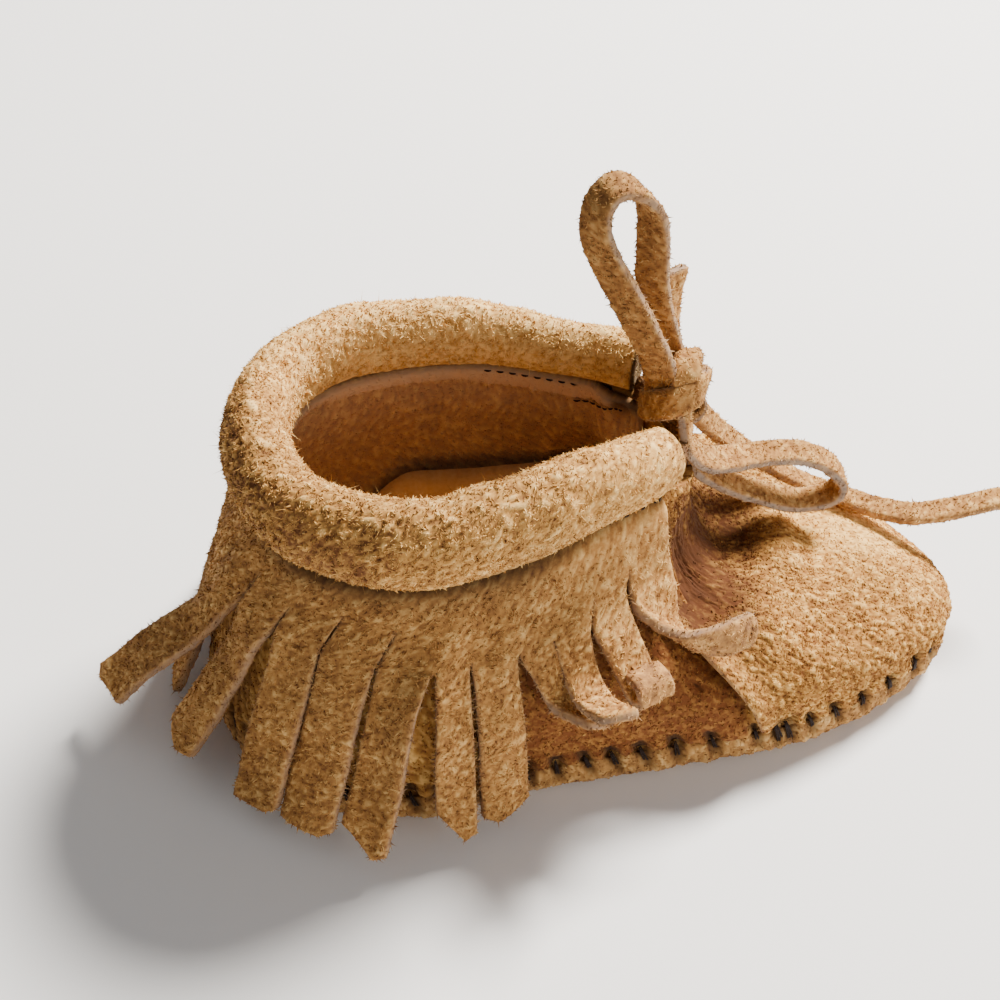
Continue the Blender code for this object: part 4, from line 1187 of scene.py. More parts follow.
# nap is longer outside and round the heel, shorter inside, on top and near the front
xr = R[..., 0]
outer_face = np.cos(ang)[None, :]
amount = 0.95 + 0.35 * np.clip(outer_face, 0, 1) * ease((-xr + 5) / 40.0) - 0.55 * ease((xr + 20.0) / 20.0) - 0.15 * np.clip(-outer_face, 0, 1)
height, tone = nap(R, 17, amount=0.62, clump=0.8)
height = height * amount
low = ease((R[..., 2] - seam_ring - 0.5) / 2.6)
fade = np.ones(len(R))
fade[:end_n] = np.linspace(0.2, 0.9, end_n)
fade[-end_n:] = np.linspace(0.9, 0.2, end_n)
wave = 0.36 * noise(R, 9.0, 71) + 0.20 * noise(R, 4.5, 72)
R2 = R + RN * ((height * (0.30 + 0.70 * low) + wave * low) * fade[:, None])[..., None]
R2[..., 2] = np.maximum(R2[..., 2], seam_ring - 0.75)
# painted shade: dimmed along the roll's foot at the seam (crease) and under its outer overhang (under_roll)
crease = 1 - ease((R[..., 2] - seam_ring - 0.5) / 1.3)
# painted light and shade: darker on the heel's outer face, lighter on the far side; the tone below is also lighter
# toward the front, painted light too
shade = -0.22 * np.clip(outer_face, 0, 1) * ease((-xr - 20) / 25.0) + 0.24 * ease((R[..., 1] - 3.0) / 10.0)
under_roll = np.clip(outer_face, 0, 1) ** 0.5 * (1 - ease((R[..., 2] - seam_ring - 1.3) / 1.6)) * (1 - ease((xr + 12) / 14.0))
# painted shade at the roll's two ends, most at the far end
end_dark = np.zeros(len(R))
end_dark[:end_n - 1] = 0.35
end_dark[1 - end_n :] = 0.55
for part in (slice(0, end_n - 1), slice(1 - end_n, None)):
    if R[part][..., 1].mean() > 0:
        end_dark[part] = 0.85
lookr = look4(
    tone + shade + 0.08 * ease((xr + 12) / 14.0),
    0.0,
    0.0,
    (1 - 0.93 * crease) * (1 - 0.60 * under_roll) * (1 - end_dark)[:, None],
)
quads_r = grid_quads(len(R), CN_V, periodic_v=True)
cap_a = np.arange(CN_V)[None, :]
cap_b = ((len(R) - 1) * CN_V + np.arange(CN_V))[None, ::-1]
fr = R2.reshape(-1, 3)
t = quads_r[CN_V * 120 + 24]
if np.cross(fr[t[2]] - fr[t[0]], fr[t[3]] - fr[t[1]]) @ RN.reshape(-1, 3)[t[0]] < 0:
    quads_r = quads_r[:, ::-1]
else:
    cap_a, cap_b = cap_a[:, ::-1], cap_b[:, ::-1]
collar = make_mesh("collar_roll", fr, [quads_r, cap_a, cap_b], lookr.reshape(-1, 4))
finish_piece(collar, suede_collar, "collar", "collar")
collar_v, collar_q, collar_look = fr, quads_r, lookr.reshape(-1, 4)

# ------------------------------------------------------------------ fringe: cuff cut into strips
FIRST, LAST = 0.19, 0.804
# how far below the seam each slit between two strips starts
SLIT = [3.8, 5.4, 9.2, 9.2, 9.2, 8.6, 4.8, 4.5, 6.0, 5.0, 4.0, 5.0] + [5.6 + 1.4 * math.sin(k * 2.1) for k in range(10)]
# the first four strips curl about a slanting line: slant of that line, start and end of the curl, turn in degrees,
# lean at the root, length, swing to the toe, narrowing
CURLS = (
    (46.6, 2.02, 15.28, 174.4, 6.3, 19.54, -1.9, 0.62),
    (3.5, 9.95, 18.70, 240.6, 16.3, 20.04, 6.0, 0.87),
    (6.9, 3.48, 15.21, 94.1, 0.4, 17.79, 3.6, 0.94),
    (42.9, 7.93, 11.99, 93.0, -5.7, 17.24, 17.7, 0.85),
)
# cut of the tips: mm longer on the heel side, mm of point, how wide the strip is at its tip
TIPS = (
    (0.5, 0.9, 0.92),
    (0.8, 0.2, 0.95),
    (-0.6, 0.3, 1.0),
    (-0.8, 0.3, 1.0),
    (0.2, 1.5, 1.06),
    (-1.0, 2.2, 1.16),
    (0.3, 1.9, 1.02),
    (1.8, 1.2, 1.02),
    (2.2, 1.0, 1.04),
    (0.8, 1.2, 1.10),
    (0.4, 1.0, 1.08),
    (-0.8, 0.5, 1.0),
) + tuple((1.6 * math.sin(2.3 * k + 0.6), 0.7 + 0.5 * math.cos(1.7 * k), 0.95 + 0.05 * math.sin(k)) for k in range(11))


def shell_point(share, z):
    k = share * AROUND
    a, b = int(math.floor(k)) % AROUND, (int(math.floor(k)) + 1) % AROUND
    t = k - math.floor(k)
    col = (1 - t) * outer[a] + t * outer[b]
    nor = (1 - t) * outer_n[a] + t * outer_n[b]
    zs = col[:, 2]
    p = np.array([np.interp(z, zs, col[:, 0]), np.interp(z, zs, col[:, 1]), z])
    n = np.array([np.interp(z, zs, nor[:, i]) for i in range(3)])
    return p, n / np.linalg.norm(n)


def cuff_point(distance, down, out_by):
    share = float(np.interp(distance, cuff_run, cuff_shares))
    top_xy = top_point(share)
    rise = float(rise_at(top_xy[0], top_xy[1])) * (1 - float(ease(down / 4.5)))
    z = SEAM_Z - 0.15 - down + rise
    p, n = shell_point(share, z)
    flat = np.array([n[0], n[1], 0.0])
    flat /= np.linalg.norm(flat)
    return p + flat * (GAP / max(math.hypot(n[0], n[1]), 0.5) + 0.1 + 0.14 * down + out_by)


def strip_line(row, root, out, span, steps):
    _, length, lean0, lean1, lean2, swing, twist, _ = row
    toe = np.array([-out[1], out[0], 0.0])
    if toe[0] < 0:
        toe = -toe
    turn = math.radians(swing)
    lean_dir = np.array([out[0], out[1], 0.0]) * math.cos(turn) + toe * math.sin(turn)
    p = np.array(root, float)
    line, wide, flat = [p.copy()], [], []
    for j in range(steps + 1):
        t = j / steps
        lean = math.radians(
            lean0 + (lean1 - lean0) * float(ease(t * 2)) if t < 0.5 else lean1 + (lean2 - lean1) * float(ease(t * 2 - 1))
        )
        way = lean_dir * math.sin(lean) + np.array([0, 0, -math.cos(lean)])
        side = np.cross(way, lean_dir * math.cos(lean) + np.array([0, 0, math.sin(lean)]))
        side /= np.linalg.norm(side)
        if side @ np.array([span[0], span[1], 0]) < 0:
            side = -side
        w = math.radians(twist) * t
        wide.append(side * math.cos(w) + np.cross(way, side) * math.sin(w))
        flat.append(way)
        if j < steps:
            p = p + way * length / steps
            line.append(p.copy())
    return np.array(line), np.array(wide), np.array(flat)


nr = outer.shape[1]
skin_tree = BVHTree.FromPolygons(
    [tuple(p) for p in outer.reshape(-1, 3)],
    [
        (k * nr + r, ((k + 1) % AROUND) * nr + r, ((k + 1) % AROUND) * nr + r + 1, k * nr + r + 1)
        for k in range(AROUND)
        for r in range(nr - 1)
    ],
)
middle = Vector((-5.0, 0.0, 15.0))


def push_off(p, need):
    place, normal, _, _ = skin_tree.find_nearest(Vector(p))
    if normal.dot(place - middle) < 0:
        normal = -normal
    more = 1.9 * (1.0 - float(ease((p[2] - 8.0) / 5.5)))
    return max(0.0, need + more - (Vector(p) - place).dot(normal)), np.array(normal)


cuff_shares = np.linspace(FIRST, LAST, 400)
track = np.array([shell_point(s_, SEAM_Z - 2.0)[0] for s_ in cuff_shares])
cuff_run = np.concatenate([[0], np.cumsum(np.linalg.norm(np.diff(track, axis=0), axis=1))])
strip_w = np.array([row[0] for row in STRIPS])
CUTS = np.concatenate([[0.0], np.cumsum(strip_w)]) * cuff_run[-1] / strip_w.sum()
# soft upright ruffles in the cuff: at which cut, how wide and how far out
RUFFLES = ((6.0, 2.6, 1.5), (4.4, 2.2, 0.9), (8.4, 3.0, -0.6), (10.6, 2.4, 1.0), (2.2, 2.0, 0.5), (13.5, 3.0, 0.8), (17.0, 3.2, 0.7))


def ruffle(distance, down):
    total = 0.0
    for cut, reach, out_by in RUFFLES:
        at = float(np.interp(cut, np.arange(len(CUTS)), CUTS))
        total += out_by * math.exp(-(((distance - at) / reach) ** 2))
    return total * float(ease((down - 0.5) / 8.0))


def curled(i, mid, width, w, L, n, a, s):
    """Places and outer normals on a curling strip; a from -1 (heel side) to 1 (toe side), s down it in mm."""
    slant, ua, ub, turn, lean, length, swing, narrow = CURLS[i]
    slant, turn, lean, swing = (math.radians(v) for v in (slant, turn, lean, swing))
    L1 = L * math.cos(lean) + n * math.sin(lean)
    n1 = n * math.cos(lean) - L * math.sin(lean)
    L2 = L1 * math.cos(swing) + w * math.sin(swing)
    w2 = w * math.cos(swing) - L1 * math.sin(swing)
    B = w2 * math.cos(slant) + L2 * math.sin(slant)
    U = -w2 * math.sin(slant) + L2 * math.cos(slant)
    x = a * width / 2 * (1 + (narrow - 1) * ease(s / 6.0))
    u = -(x - width / 2) * math.sin(slant) + s * math.cos(slant)
    b = (x - width / 2) * math.cos(slant) + s * math.sin(slant)
    uu = np.linspace(0, 60, 1201)
    ph = turn * ease((uu - ua) / (ub - ua))
    cu = np.concatenate([[0], np.cumsum(np.cos(ph[:-1]) * 0.05)])
    cn = np.concatenate([[0], np.cumsum(np.sin(ph[:-1]) * 0.05)])
    up = np.maximum(u, 0)
    Cu = np.interp(up, uu, cu) + np.minimum(u, 0)
    Cn = np.interp(up, uu, cn)
    P = mid + w2 * width / 2 + b[..., None] * B + Cu[..., None] * U + Cn[..., None] * n1
    phv = np.interp(up, uu, ph)
    return P, np.cos(phv)[..., None] * n1 - np.sin(phv)[..., None] * U


COLS = 15  # points across a strip
BAND_N = 22  # rows in the uncut cuff
STRIP_N = 62  # rows in a strip
rows_all = BAND_N + STRIP_N
mid_pts = np.zeros((len(STRIPS), COLS, rows_all, 3))
nrm_pts = np.zeros_like(mid_pts)
edge_of = np.zeros(mid_pts.shape[:3])
along_strip = np.zeros(mid_pts.shape[:3])
downs = BAND * np.linspace(0, 1, BAND_N) ** 1.0
first_free = np.array([int(np.searchsorted(downs, s_)) for s_ in SLIT])
for i, row_ in enumerate(STRIPS):
    toe_end = cuff_point(CUTS[i] + STRIP_GAP / 2, BAND, FRINGE_T / 2)
    heel_end = cuff_point(CUTS[i + 1] - STRIP_GAP / 2, BAND, FRINGE_T / 2)
    across_w = toe_end - heel_end
    width = np.linalg.norm(across_w)
    across_w = across_w / width
    root = (toe_end + heel_end) / 2
    here_share = float(np.interp((CUTS[i] + CUTS[i + 1]) / 2, cuff_run, cuff_shares))
    _, n = shell_point(here_share, SEAM_Z - BAND)
    out = np.array([n[0], n[1]]) / math.hypot(n[0], n[1])
    slant_cut, point, tip_w = TIPS[i]
    rng = np.random.default_rng(100 + i)
    # the cuff above the strip
    for c in range(COLS):
        a = c / (COLS - 1)
        d_along = CUTS[i] + (CUTS[i + 1] - CUTS[i]) * a
        for r in range(BAND_N):
            down = downs[r]
            gap = 0.0
            if c == 0 and i > 0:
                gap = STRIP_GAP / 2 * float(ease((down - SLIT[i - 1]) / 1.5)) * (r >= first_free[i - 1])
            if c == COLS - 1 and i < len(STRIPS) - 1:
                gap = -STRIP_GAP / 2 * float(ease((down - SLIT[i]) / 1.5)) * (r >= first_free[i])
            dd = d_along + gap
            tucked = -1.25 * (1 - float(ease(down / 1.3)))
            p = cuff_point(dd, down, FRINGE_T / 2 + ruffle(dd, down) + tucked)
            mid_pts[i, c, r] = p
            _, nn = shell_point(float(np.interp(dd, cuff_run, cuff_shares)), SEAM_Z - 0.15 - down)
            nn = np.array([nn[0], nn[1], 0.35 * nn[2]])
            nrm_pts[i, c, r] = nn / np.linalg.norm(nn)
    fine_at = np.linspace(0, 1, STRIP_N + 1)
    a_cols = 1.0 - 2.0 * np.arange(COLS) / (COLS - 1)
    if i < len(CURLS):
        upm = cuff_point((CUTS[i] + CUTS[i + 1]) / 2, BAND - 2, FRINGE_T / 2)
        L = root - upm
        L -= (L @ across_w) * across_w
        L /= np.linalg.norm(L)
        nn = np.cross(across_w, L)
        if nn @ n < 0:
            nn = -nn
        length = CURLS[i][5]
        A_, F_ = np.meshgrid(a_cols, fine_at, indexing="ij")
        tip_in = ease((F_ - 0.70) / 0.30)
        s_ = F_ * length + tip_in * (-slant_cut * A_ - point * 1.2 * np.abs(A_) ** 1.8)
        P_, N_ = curled(i, root, width, across_w, L, nn, A_ * (1 - (1 - tip_w) * tip_in), s_)
        mid_pts[i, :, BAND_N:] = P_[:, 1:]
        nrm_pts[i, :, BAND_N:] = N_[:, 1:]
        # the cuff just above lifts away with the curl where its slit lets it
        for c in range(COLS):
            a = c / (COLS - 1)
            st = (SLIT[i - 1] if i > 0 else 9.0) * (1 - a) + SLIT[i] * a
            rows = np.arange(BAND_N)
            s_band = -(BAND - downs) / max(-L[2], 0.5)
            free = ease((downs - st) / max(BAND - st, 1.2))
            A1 = np.full(BAND_N, a_cols[c])
            Pc, Nc = curled(i, root, width, across_w, L, nn, A1, s_band)
            flat_p = root + A1[:, None] * (width / 2) * across_w + s_band[:, None] * L
            move = (Pc - flat_p) * free[:, None]
            mid_pts[i, c, :BAND_N] += move
            nrm_pts[i, c, :BAND_N] = unit(nrm_pts[i, c, :BAND_N] * (1 - free)[:, None] + Nc * free[:, None])
    else:
        line, wide, way = strip_line(row_, root, out, -across_w[:2], 8)
        for _ in range(3):
            for r in range(1, 9):
                moves = [
                    push_off(line[r] + wide[r] * across * width, FRINGE_T / 2 + 2.2 * GAP)
                    for across in (-0.5, -0.25, 0.0, 0.25, 0.5)
                ]
                most, normal = max(moves, key=lambda m: m[0])
                line[r] = line[r] + normal * most
        fine_line = smooth_line(line, STRIP_N + 1, plan=False, fine_steps=20)
        at = np.linspace(0, 1, 9)
        fine_wide = unit(np.stack([np.interp(fine_at, at, wide[:, k]) for k in range(3)], 1))
        # the root starts along the cuff and turns square to the strip within a few mm
        turn_in = ease(fine_at / 0.2)[:, None]
        fine_wide = unit(fine_wide * turn_in + (-across_w) * (1 - turn_in))
        fine_way = unit(np.gradient(fine_line, axis=0))
        face0 = np.array([out[0], out[1], 0.0])
        face = unit(np.cross(fine_wide, fine_way))
        if face[1] @ face0 < 0:
            face = -face
        for k in range(1, len(face)):
            if face[k] @ face[k - 1] < 0:
                face[k] = -face[k]
        wob = 0.30 * np.sin(fine_at * (5.0 + 3 * rng.random()) + 6 * rng.random()) * ease(fine_at * 2)
        camber = rng.uniform(0.2, 0.7) * rng.choice([-1, 1])
        lean_side = rng.uniform(-0.5, 0.5)
        apex = rng.uniform(-0.7, 0.7)
        ruff = np.array([ruffle(CUTS[i] + (CUTS[i + 1] - CUTS[i]) * c / (COLS - 1), BAND) for c in range(COLS)])
        for c in range(COLS):
            across = c / (COLS - 1) - 0.5
            w_here = width * (1 + (tip_w * 1.06 - 1) * ease(fine_at * 1.3))
            ps = fine_line + fine_wide * (across * w_here)[:, None]
            tip_in = fine_at**6
            ps += fine_way * (tip_in * (slant_cut * across * 2 - point * 1.5 * abs(across * 2 - apex)))[:, None]
            curl_across = camber * ((2 * across) ** 2 - 0.33) * ease(fine_at * 1.5) + lean_side * across * fine_at
            ps += face * (curl_across + wob + ruff[c] * (1 - 0.6 * ease(fine_at)))[:, None]
            mid_pts[i, c, BAND_N:] = ps[1:]
            nrm_pts[i, c, BAND_N:] = face[1:]
    for c in range(COLS):
        along_strip[i, c, BAND_N:] = fine_at[1:]
        edge_of[i, c] = abs(2 * c / (COLS - 1) - 1)
# soften the step between the cuff and the strips
for _ in range(3):
    lo, hi = BAND_N - 6, BAND_N + 8
    sm = mid_pts[:, :, lo - 1 : hi - 1] * 0.25 + mid_pts[:, :, lo:hi] * 0.5 + mid_pts[:, :, lo + 1 : hi + 1] * 0.25
    mid_pts[:, :, lo:hi] = sm
    sn_ = nrm_pts[:, :, lo - 1 : hi - 1] * 0.25 + nrm_pts[:, :, lo:hi] * 0.5 + nrm_pts[:, :, lo + 1 : hi + 1] * 0.25
    nrm_pts[:, :, lo:hi] = unit(sn_)
vid = np.zeros((len(STRIPS), COLS, rows_all), int)
count = 0
pos_list, nrm_list, edge_list, along_list, down_list = [], [], [], [], []
for i in range(len(STRIPS)):
    for c in range(COLS):
        for r in range(rows_all):
            if i > 0 and c == 0 and r < first_free[i - 1]:
                vid[i, c, r] = vid[i - 1, COLS - 1, r]
                continue
            vid[i, c, r] = count
            count += 1
            pos_list.append(mid_pts[i, c, r])
            nrm_list.append(nrm_pts[i, c, r])
            side_slit = 0.0
            if c <= COLS // 2:
                side_slit = 1.0 if (i == 0 or r >= first_free[i - 1]) else 0.0
            else:
                side_slit = 1.0 if (i == len(STRIPS) - 1 or r >= first_free[min(i, len(SLIT) - 1)]) else 0.0
            edge_list.append(edge_of[i, c, r] * side_slit)
            along_list.append(along_strip[i, c, r])
            down_list.append(downs[r] if r < BAND_N else BAND + 1)
M = np.array(pos_list)
MN = unit(np.array(nrm_list))
E = np.array(edge_list)
A = np.array(along_list)
D = np.array(down_list)
h_out, t_out = nap(M, 23, amount=0.50, clump=0.75)
h_in = 0.20 * noise(M, 0.9, 27) + 0.16 * noise(M, 2.5, 28)
tip_edge = np.maximum(np.clip((E - 0.80) / 0.2, 0, 1), np.clip((A - 0.96) / 0.04, 0, 1))
round_edge = 0.14 * tip_edge**2
body = 0.20 * noise(M, 5.0, 29)
F_out = M + MN * (FRINGE_T / 2 - round_edge + h_out * (1 - 0.5 * tip_edge) + body)[:, None]
F_in = M - MN * (FRINGE_T / 2 - round_edge - h_in - body)[:, None]
q = []
for i in range(len(STRIPS)):
    a, b, c_, d_ = vid[i][:-1, :-1], vid[i][1:, :-1], vid[i][1:, 1:], vid[i][:-1, 1:]
    q.append(np.stack([a, b, c_, d_], -1).reshape(-1, 4))
q = np.concatenate(q)
edges = np.concatenate([q[:, [k, (k + 1) % 4]] for k in range(4)])
key = edges[:, 0].astype(np.int64) * (count + 1) + edges[:, 1]
rkey = edges[:, 1].astype(np.int64) * (count + 1) + edges[:, 0]
bound = edges[~np.isin(key, rkey)]
test = q[5]
fn = np.cross(F_out[test[2]] - F_out[test[0]], F_out[test[3]] - F_out[test[1]])
flip = fn @ MN[test[0]] < 0
q_out = q[:, ::-1] if flip else q
q_in_faces = (q if flip else q[:, ::-1]) + count
# walls of the cut edges, with two rows of their own so that the raw edge can be rough
bverts = np.unique(bound)
remap = np.full(count, -1)
remap[bverts] = np.arange(len(bverts))
nb_sum = np.zeros((count, 3))
nb_n = np.zeros(count)
for k in range(4):
    for a_, b_ in ((q[:, k], q[:, (k + 1) % 4]), (q[:, k], q[:, (k + 2) % 4])):
        np.add.at(nb_sum, a_, M[b_])
        np.add.at(nb_n, a_, 1)
away = M - nb_sum / np.maximum(nb_n, 1)[:, None]
away = away - (away * MN).sum(1)[:, None] * MN
away = unit(away)[bverts]
away = away * (np.linalg.norm(away, axis=1) > 0.5)[:, None]
rag = 0.12 * noise(M[bverts], 0.8, 81) + 0.10 * noise(M[bverts], 2.0, 85)
W1 = F_out[bverts] * 0.72 + F_in[bverts] * 0.28 + away * (0.16 + rag)[:, None]
W2 = F_out[bverts] * 0.28 + F_in[bverts] * 0.72 + away * (0.10 + rag * 0.8 + 0.08 * noise(M[bverts], 0.7, 82))[:, None]
nB = len(bverts)
o1, o2 = 2 * count, 2 * count + nB
a_, b_ = bound[:, 0], bound[:, 1]
ra, rb = remap[a_], remap[b_]
w_faces = np.concatenate(
    [
        np.stack([b_, a_, ra + o1, rb + o1], 1),
        np.stack([rb + o1, ra + o1, ra + o2, rb + o2], 1),
        np.stack([rb + o2, ra + o2, a_ + count, b_ + count], 1),
    ]
)
if flip:
    w_faces = w_faces[:, ::-1]
fr_v = np.concatenate([F_out, F_in, W1, W2])
shade_deep = 0.6 + 1.7 * (1 - ease((M[:, 0] + 16.0) / 12.0)) * (M[:, 1] < 8)
top_shade = 1 - 0.84 * np.exp(-((D / shade_deep) ** 2))
front_light = 0.10 * ease((M[:, 0] + 14.0) / 12.0) * (M[:, 1] < 0) * (M[:, 2] > 30)
look_fo = look4(t_out * 0.95 + 0.03 + front_light, 0.15 * np.clip((E - 0.92) / 0.08, 0, 1), 0.0, top_shade)
t_in = np.clip(0.42 + 0.34 * noise(M, 0.9, 83) + 0.2 * noise(M, 2.6, 84), 0, 1)
look_fi = look4(t_in, 0.20 * np.clip((E - 0.9) / 0.1, 0, 1), 0.10, np.ones(count))
rough_edge = np.clip(0.66 + 0.30 * noise(M[bverts], 1.2, 84), 0.25, 1)
look_w1 = look4(np.clip(0.55 + 0.3 * noise(M[bverts], 0.8, 86), 0, 1), rough_edge * 0.75, 0.0, np.ones(nB))
look_w2 = look4(np.clip(0.45 + 0.3 * noise(M[bverts], 0.8, 87), 0, 1), rough_edge, 0.0, np.ones(nB))
fr_look = np.concatenate([look_fo, look_fi, look_w1, look_w2])
fringe = make_mesh("fringe_cuff", fr_v, [q_out, q_in_faces, w_faces], fr_look)
finish_piece(fringe, suede_fringe, "fringe", "fringe")

# ------------------------------------------------------------------ lace: flat thong, 5 mm wide
THONG_W, THONG_T = 5.0, 1.7


def thong(name, route, sides, slot_name, node, seed, width=THONG_W, thick=THONG_T, step=0.40, raw=0.5, shade=1.0):
    """A flat thong along a route; sides gives the way its width lies at each point of the route."""
    pts = np.asarray(route, float)
    m0 = len(pts)
    fine_c, mark = [], []
    for i in range(m0 - 1):
        b, c = pts[i], pts[i + 1]
        a = pts[i - 1] if i > 0 else 2 * b - c
        d = pts[i + 2] if i + 2 < m0 else 2 * c - b
        mark.append(len(fine_c))
        for t in np.linspace(0, 1, 24, endpoint=False):
            fine_c.append(catmull(a, b, c, d, t))
    mark.append(len(fine_c))
    fine_c.append(pts[-1])
    fine_c = np.array(fine_c)
    run = np.concatenate([[0.0], np.cumsum(np.linalg.norm(np.diff(fine_c, axis=0), axis=1))])
    n = max(int(run[-1] / step), 12)
    want = np.linspace(0, run[-1], n)
    line = np.stack([np.interp(want, run, fine_c[:, k]) for k in range(3)], 1)
    way = unit(np.gradient(line, axis=0))
    sides = np.asarray(sides, float)
    if len(sides) != m0:
        at_s = np.linspace(0, run[-1], len(sides))
    else:
        at_s = run[mark]
    sd = np.stack([np.interp(want, at_s, sides[:, k]) for k in range(3)], 1)
    sd = unit(sd - (sd * way).sum(1)[:, None] * way)
    up = np.cross(way, sd)
    hw, ht, rr = width / 2, thick / 2, (min(0.5, thick * 0.3) if thick < 1.85 else 0.42 * thick)
    sec = []
    for cx, cy, a0 in ((hw - rr, ht - rr, 0), (-hw + rr, ht - rr, 90), (-hw + rr, -ht + rr, 180), (hw - rr, -ht + rr, 270)):
        for da in (0, 45, 90):
            t = math.radians(a0 + da)
            sec.append((cx + rr * math.cos(t), cy + rr * math.sin(t)))
        if a0 in (0, 180):
            sign = 1 if a0 == 0 else -1
            for f in (0.66, 0.33, 0.0, -0.33, -0.66):
                sec.append((sign * f * (hw - rr), sign * ht))
    sec = np.array(sec)
    m = len(sec)
    G = line[:, None] + sd[:, None] * sec[None, :, :1] + up[:, None] * sec[None, :, 1:]
    c0 = line[:1, None] + (G[:1] - line[:1, None]) * 0.5 - way[:1, None] * 0.10
    c1 = line[-1:, None] + (G[-1:] - line[-1:, None]) * 0.5 + way[-1:, None] * 0.10
    G = np.concatenate([c0, G, c1])
    GN = grid_normals(G, periodic_v=True)
    ctr = G.mean(1, keepdims=True)
    sign = 1.0 if ((G - ctr) * GN).sum() > 0 else -1.0
    GN = GN * sign
    GN[0], GN[-1] = GN[1], GN[-2]
    face_like = np.clip((np.abs(sec[:, 1]) - (ht - rr) - 0.1) / 0.3, 0, 1)
    h, t = nap(G, seed, amount=0.42, clump=0.8)
    lump = 0.13 * noise(G, 3.5, seed + 5)
    ends_in = np.ones(len(G))
    ends_in[:2] = ends_in[-2:] = 0.25
    G2 = G + GN * (((h * (0.35 + 0.65 * face_like)[None]) + lump) * ends_in[:, None])[..., None]
    # shade darkens a whole piece: painted shade for pieces that sit in shadow, such as the bar under the knot
    look = look4(t * (0.95 * shade) + 0.03, 0.0, 0.0, np.full(G.shape[:2], shade))
    look[..., 1] = (1 - face_like)[None] * np.clip(raw + 0.35 * noise(G, 1.6, seed + 6), 0.05, 1)
    look[0, :, 1] = look[-1, :, 1] = 0.55
    N0 = len(G)
    qd = grid_quads(N0, m, periodic_v=True)
    capa, capb = np.arange(m)[None, :], ((N0 - 1) * m + np.arange(m))[None, ::-1]
    v = G2.reshape(-1, 3)
    f = qd[(N0 // 2) * m]
    fnn = np.cross(v[f[2]] - v[f[0]], v[f[3]] - v[f[1]])
    if fnn @ GN.reshape(-1, 3)[f[0]] < 0:
        qd = qd[:, ::-1]
    else:
        capa, capb = capa[:, ::-1], capb[:, ::-1]
    obj = make_mesh(name, v, [qd, capa, capb], look.reshape(-1, 4))
    finish_piece(obj, suede_lace, slot_name, node)
    fuzz = tufts(name + "_nap", v, qd, look.reshape(-1, 4), 4.2, 0.42, 0.14, 62, seed + 9)
    finish_piece(fuzz, suede_lace, slot_name)
    world = (line + SHIFT) * MM
    return obj, fuzz, world, float(np.linalg.norm(np.diff(world, axis=0), axis=1).sum())


BAR = ((6.6, -11.0, 46.6), (9.6, -6.5, 46.4), (10.8, -1.0, 46.6), (9.6, 5.0, 46.8), (6.8, 9.6, 46.6))
thong("lace_crossing", BAR, ((0.3, 0, 1), (0.2, 0, 1), (0.0, 0, 1), (0.1, 0, 1), (0.2, 0, 1)), "lace_bar", "lace_bar", 201, width=4.2, raw=0.1, shade=0.45)
CROSS = (
    (5.8, 1.6, 50.6),
    (6.0, -2.0, 53.4),
    (8.4, -3.9, 55.4),
    (11.4, -3.1, 56.4),
    (13.4, -0.2, 55.6),
    (13.4, 3.3, 53.4),
    (11.0, 5.0, 51.8),
    (7.8, 4.4, 51.2),
)
CROSS_W = ((0.1, 0.5, 0.8), (-0.1, 0.5, 0.8), (-0.12, 0.42, 0.9), (-0.05, 0.38, 0.92), (0.2, 0.3, 0.92), (0.1, 0.1, 1), (0, 0, 1), (0, 0, 1))
thong("lace_knot_wrap", CROSS, CROSS_W, "lace_knot", "lace_knot", 211, width=4.6, thick=1.9, raw=0.35)
HUMP = ((9.8, -1.9, 53.0), (10.0, -2.7, 57.4), (10.5, -1.0, 59.6), (11.2, 1.8, 59.2), (12.0, 3.8, 55.6), (12.3, 3.8, 51.0))
thong("lace_knot_top", HUMP, tuple((1, 0.1, 0.05) for _ in HUMP), "lace_knot", "lace_knot", 215, width=4.0, thick=1.9, raw=0.3)
UNDER_KNOT = ((6.6, 2.5, 52.4), (8.8, 1.0, 50.6), (11.6, 0.4, 49.8), (13.2, 1.6, 50.6), (12.6, 3.8, 53.0))
thong("lace_knot_under", UNDER_KNOT, tuple((0.0, 1, 0.35) for _ in UNDER_KNOT), "lace_knot", "lace_knot", 217, width=4.6, thick=1.9, shade=0.7)

UPPER_LOOP = (
    (7.6, -0.3, 54.0),
    (6.2, -1.4, 60.1),
    (3.7, -1.8, 65.8),
    (0.7, -0.5, 71.4),
    (-2.4, 1.0, 76.8),
    (-4.0, 2.0, 81.4),
    (-3.3, 3.0, 85.2),
    (-0.7, 4.0, 86.6),
    (2.5, 4.8, 84.6),
    (4.2, 4.8, 81.1),
    (4.8, 4.5, 76.3),
    (5.2, 4.0, 70.7),
    (6.4, 3.6, 65.6),
    (8.0, 3.4, 60.6),
    (9.4, 3.0, 55.2),
)
UPPER_W = [(0.86, -0.5, 0.25)] * 4 + [
    (0.80, -0.6, 0.15),
    (0.70, -0.7, 0.0),
    (0.45, -0.88, -0.1),
    (0.20, -0.95, -0.15),
    (0.35, -0.9, -0.05),
    (0.60, -0.75, 0.0),
    (0.80, -0.6, 0.0),
    (0.86, -0.5, 0.0),
    (0.88, -0.45, 0.15),
    (0.88, -0.4, 0.2),
    (0.88, -0.4, 0.2),
]
loop_up = thong("lace_upper_loop", UPPER_LOOP, UPPER_W, "lace_loop_upper", "lace_loop_upper", 221, width=4.8, raw=0.42, shade=0.88)
